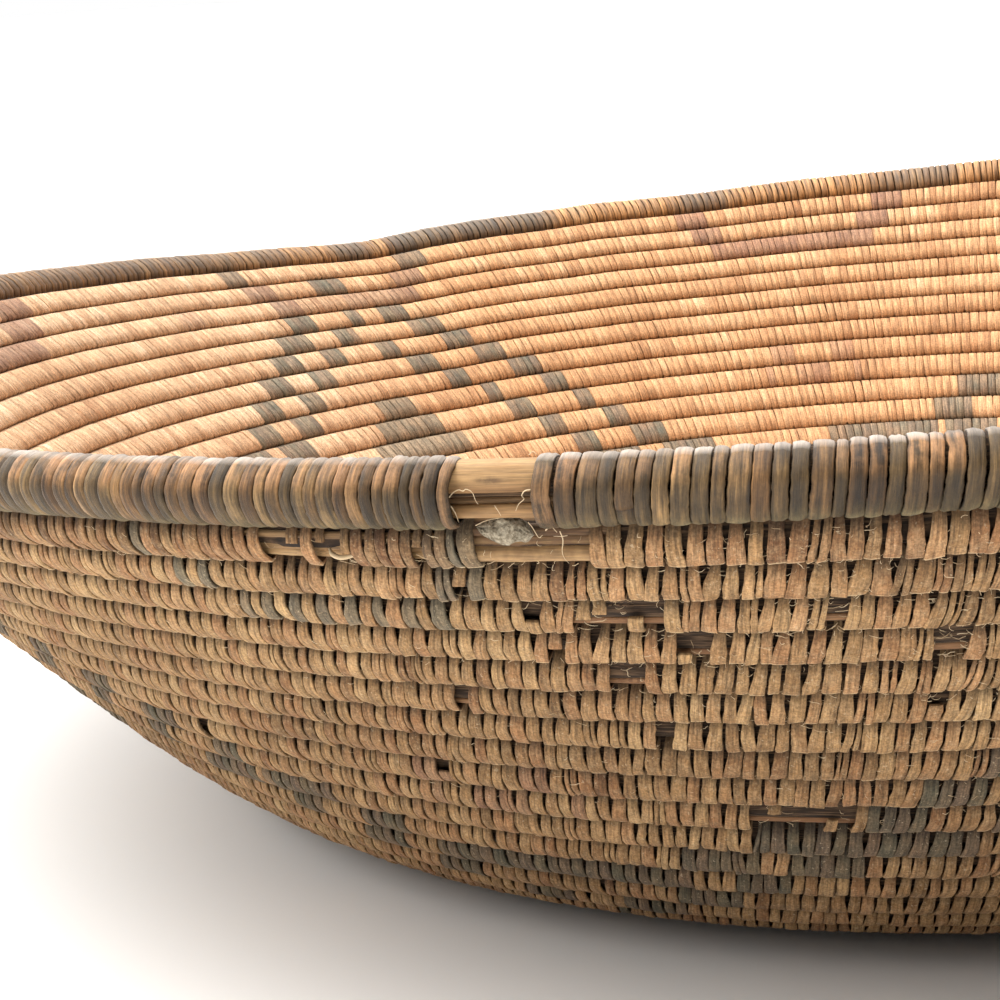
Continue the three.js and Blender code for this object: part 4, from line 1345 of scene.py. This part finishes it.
# ------------------------------------------------------------------ loose fibres
def tube(build, pts, rad, tint, sides=4):
    pts = np.asarray(pts, float)
    M = len(pts)
    d = np.gradient(pts, axis=0)
    d /= np.linalg.norm(d, axis=1)[:, None] + 1e-9
    ref = np.array([0.31, 0.52, 0.79])
    u = np.cross(d, ref)
    u /= np.linalg.norm(u, axis=1)[:, None] + 1e-9
    w = np.cross(d, u)
    a = np.arange(sides) * 2 * math.pi / sides
    rad = np.broadcast_to(rad, (M,))
    co = pts[:, None, :] + rad[:, None, None] * (
        np.cos(a)[None, :, None] * w[:, None, :] + np.sin(a)[None, :, None] * u[:, None, :]
    )
    seg = np.append(np.linalg.norm(np.diff(pts, axis=0), axis=1), 0)
    vv = np.concatenate([[0], np.cumsum(seg)])[None] + rng.uniform(0, 99)
    uu = np.broadcast_to(np.arange(sides + 1) * 0.1, (1, M, sides + 1))
    shp = (1, M, sides)
    build.grid(co[None], uu, vv, four(tint, 1, 0, 0, shp), four(0, 0, 0, 0.5, shp), (), False)


def bend_points(points, n):
    """Catmull-Rom through open points."""
    p = np.asarray(points, float)
    p = np.vstack([2 * p[0] - p[1], p, 2 * p[-1] - p[-2]])
    out = []
    spans = len(p) - 3
    for i in range(spans):
        t = np.arange(n)[:, None] / n
        a, b, c, d = p[i], p[i + 1], p[i + 2], p[i + 3]
        out.append(0.5 * (2 * b + (c - a) * t + (2 * a - 5 * b + 4 * c - d) * t * t + (3 * b - a - 3 * c + d) * t ** 3))
    out.append(p[-2:-1])
    return np.concatenate(out)


build = Build()
# long loose fibres in the break: thickness, then points (along the rim, up, forward)
LONG = [
    (0.055, [(-5.35, -0.61, 1.50), (-4.73, -0.51, 1.60), (-4.17, -0.00, 1.80), (-3.45, 0.25, 2.20), (-3.00, 0.13, 2.30), (-2.70, 0.29, 2.30), (-2.22, 0.02, 2.10), (-2.24, -0.69, 1.20), (-2.20, -1.02, 0.70)]),
    (0.060, [(3.47, 0.15, 2.40), (2.77, 0.06, 2.30), (2.24, -0.31, 1.70), (2.21, -0.63, 1.10), (1.58, -1.04, 0.70), (1.28, -1.62, 0.60)]),
    (0.045, [(-0.75, -1.11, 0.50), (-0.32, -1.71, 0.50), (-0.29, -2.02, 0.10)]),
    (0.050, [(2.65, 3.13, 1.20), (3.03, 3.41, 1.20), (3.42, 3.07, 1.20)]),
    (0.045, [(4.69, -3.42, -1.20), (4.36, -4.18, -2.90), (3.97, -5.14, -3.80), (4.07, -5.78, -4.20), (4.49, -6.20, -4.20)]),
    (0.045, [(1.98, -2.60, -0.60), (2.21, -3.03, -1.00), (2.63, -3.91, -1.50), (3.09, -3.72, -1.20)]),
    (0.070, [(-4.95, -0.85, 1.00), (-4.48, -1.61, 0.60), (-4.56, -2.57, -0.60)]),
    (0.060, [(3.37, -3.31, -1.20), (3.93, -2.99, -1.00), (4.35, -3.50, -1.40)]),
    (0.050, [(-3.12, -2.83, -1.00), (-2.21, -2.43, -1.10), (-0.79, -2.17, -0.90), (0.38, -1.98, -0.80)]),
]
for rad, pts in LONG:
    q = bend_points(pts, 5)
    h, d = q[:, 1], q[:, 2]
    at = {key: np.full(len(q), v) for key, v in dict(r=RIM_RADIUS, z=RIM_Z, a=RIM_SLOPE, th=-12.5).items()}
    w = world(at, 0.55 * h + 0.835 * d, -0.835 * h + 0.55 * d, q[:, 0])
    tube(build, w, rad * np.linspace(1, 0.45, len(q)), 0.80, 6)
# a torn splint that curls out under the first row
curl = bend_points([(-1.25, -5.0, -4.35), (-0.7, -5.55, -4.0), (0.3, -5.85, -3.85), (1.4, -5.65, -3.95), (2.3, -5.0, -4.5)], 6)
at = {key: np.full(len(curl), v) for key, v in dict(r=RIM_RADIUS, z=RIM_Z, a=RIM_SLOPE, th=-18.75).items()}
w = world(at, 0.55 * curl[:, 1] + 0.835 * curl[:, 2], -0.835 * curl[:, 1] + 0.55 * curl[:, 2], curl[:, 0])
tube(build, w, np.interp(np.arange(len(curl)), [0, 6, 18, 24], [0.10, 0.24, 0.22, 0.08]), 0.62, 6)
# hairs at the row joints near the front
n_hair = 1150
for i in range(n_hair):
    k = int(rng.choice([1, 2, 3, 4, 5, 6, 7, 8, 9, 10], p=[.14, .17, .17, .15, .1, .08, .06, .05, .04, .04]))
    th0 = rng.choice([rng.uniform(-17, 3.2), rng.uniform(-6, 3.2), rng.uniform(-30, -17)], p=[0.55, 0.30, 0.15])
    f = {q: np.array([v]) for q, v in coil(row_phi(k, th0)).items()}
    x0 = rng.choice([-1.9, 1.6, 0.5, -0.8], p=[.4, .35, .15, .1]) + rng.normal(0, 0.25)
    y0 = np.interp(x0, [-2.2, -1.3, 0, 1, 1.6, 2.2], [1.9, 2.3, 2.6, 2.4, 2.0, 1.4]) - 0.12
    L = rng.uniform(0.5, 1.7)
    dirx = rng.normal(0, 0.55)
    pts = [(x0, y0, 0)]
    ang = rng.uniform(-1.2, 1.2) + (math.pi if rng.uniform() < 0.5 else 0)
    lift = rng.uniform(0.08, 0.4)
    steps = 4
    for j in range(1, steps + 1):
        ang += rng.normal(0, 0.5)
        px, py, pt = pts[-1]
        pts.append((px + L / steps * math.sin(ang) * 0.9, y0 + lift * math.sin(j / steps * 2.4), pt + L / steps * math.cos(ang)))
    P = np.array(pts)
    w = world({q: np.repeat(v, len(P)) for q, v in f.items()}, P[:, 0], P[:, 1], P[:, 2])
    tube(build, w, np.linspace(rng.uniform(0.03, 0.055), 0.018, len(P)), rng.uniform(0.2, 1.0), 3)
build.make("loose_fibres", FIBRE, (), tall=4.0)

# ------------------------------------------------------------------ floor, light, camera
n = Nodes("pale_floor")
g = n.noise(n.object(), 3.0, 3.0, 0.5)
c = n.ramp(g, [(0.3, (0.885, 0.880, 0.868)), (0.7, (0.905, 0.900, 0.890))])
floor_material = n.finish(c, n.span(g, 0.3, 0.7, 0.55, 0.65), None, 0.2)
me = bpy.data.meshes.new("floor")
S = 14.0
me.from_pydata([(-S, -S, 0), (S, -S, 0), (S, S, 0), (-S, S, 0)], [], [(0, 1, 2, 3)])
floor = bpy.data.objects.new("floor", me)
bpy.context.scene.collection.objects.link(floor)
me.materials.append(floor_material)
floor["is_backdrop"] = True

# a studio dome: light from straight above and from the left, and a plain white ground behind
world_data = bpy.data.worlds.new("studio")
world_data.use_nodes = True
wt = world_data.node_tree
wt.nodes.clear()
coord = wt.nodes.new("ShaderNodeTexCoord")
parts = wt.nodes.new("ShaderNodeSeparateXYZ")
wt.links.new(coord.outputs["Generated"], parts.inputs[0])


def sky(kind, **values):
    n = wt.nodes.new(kind)
    for key, value in values.items():
        setattr(n, key, value)
    return n


def step(axis, lo, hi, sign=1.0):
    """0 to 1 as the direction's x, y or z, times sign, runs from lo to hi."""
    turn = sky("ShaderNodeMath", operation="MULTIPLY")
    wt.links.new(parts.outputs[axis], turn.inputs[0])
    turn.inputs[1].default_value = sign
    n = sky("ShaderNodeMapRange", interpolation_type="SMOOTHSTEP")
    wt.links.new(turn.outputs[0], n.inputs["Value"])
    n.inputs["From Min"].default_value = lo
    n.inputs["From Max"].default_value = hi
    return n.outputs["Result"]


def times(a, b):
    n = sky("ShaderNodeMath", operation="MULTIPLY")
    wt.links.new(a, n.inputs[0])
    if isinstance(b, float):
        n.inputs[1].default_value = b
    else:
        wt.links.new(b, n.inputs[1])
    return n.outputs[0]


def plus(a, b):
    n = sky("ShaderNodeMath", operation="ADD")
    wt.links.new(a, n.inputs[0])
    wt.links.new(b, n.inputs[1])
    return n.outputs[0]


total = plus(times(step(2, 0.55, 0.95), DOME[0]), times(step(0, 0.3, 0.9, -1.0), DOME[1]))
total = plus(total, times(times(step(0, 0.2, 0.7, -1.0), step(2, 0.3, 0.7)), DOME[2]))
shine = plus(total, times(step(1, 0.0, 0.6), DOME[3]))


def lamp(strength, tint):
    n = sky("ShaderNodeBackground")
    n.inputs[0].default_value = (*tint, 1)
    if isinstance(strength, float):
        n.inputs[1].default_value = strength
    else:
        wt.links.new(strength, n.inputs[1])
    return n.outputs[0]


ray = sky("ShaderNodeLightPath")
wo = sky("ShaderNodeOutputWorld")
first = sky("ShaderNodeMixShader")
wt.links.new(ray.outputs["Is Glossy Ray"], first.inputs[0])
wt.links.new(lamp(total, (1.0, 0.995, 0.98)), first.inputs[1])
wt.links.new(lamp(shine, (1.0, 0.995, 0.98)), first.inputs[2])
second = sky("ShaderNodeMixShader")
wt.links.new(ray.outputs["Is Camera Ray"], second.inputs[0])
wt.links.new(first.outputs[0], second.inputs[1])
wt.links.new(lamp(1.0, (1.0, 1.0, 1.0)), second.inputs[2])
wt.links.new(second.outputs[0], wo.inputs[0])
bpy.context.scene.world = world_data

yaw, pitch, roll = 0.1691, 0.2025, -0.0661
ex = Vector((math.cos(yaw), math.sin(yaw), 0))
ey = Vector((-math.sin(yaw), math.cos(yaw), 0))
forward = math.cos(pitch) * ey - math.sin(pitch) * Vector((0, 0, 1))
ez = math.sin(pitch) * ey + math.cos(pitch) * Vector((0, 0, 1))
right = math.cos(roll) * ex + math.sin(roll) * ez
up = -math.sin(roll) * ex + math.cos(roll) * ez
cam = bpy.data.cameras.new("camera")
cam.sensor_width = 36.0
cam.sensor_fit = "HORIZONTAL"
cam.lens = 2597.5 / 1000 * 36.0
cam.clip_start, cam.clip_end = 0.01, 60.0
camera = bpy.data.objects.new("camera", cam)
camera.matrix_world = Matrix((
    (right.x, up.x, -forward.x, 0.0),
    (right.y, up.y, -forward.y, -69.6358 * PITCH * MM),
    (right.z, up.z, -forward.z, 20.3865 * PITCH * MM),
    (0, 0, 0, 1),
))
bpy.context.scene.collection.objects.link(camera)
bpy.context.scene.camera = camera
bpy.context.scene.view_settings.view_transform = "Standard"

lo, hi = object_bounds()
{"cad": CAD_BOX, "visual": [list(lo), list(hi)]}
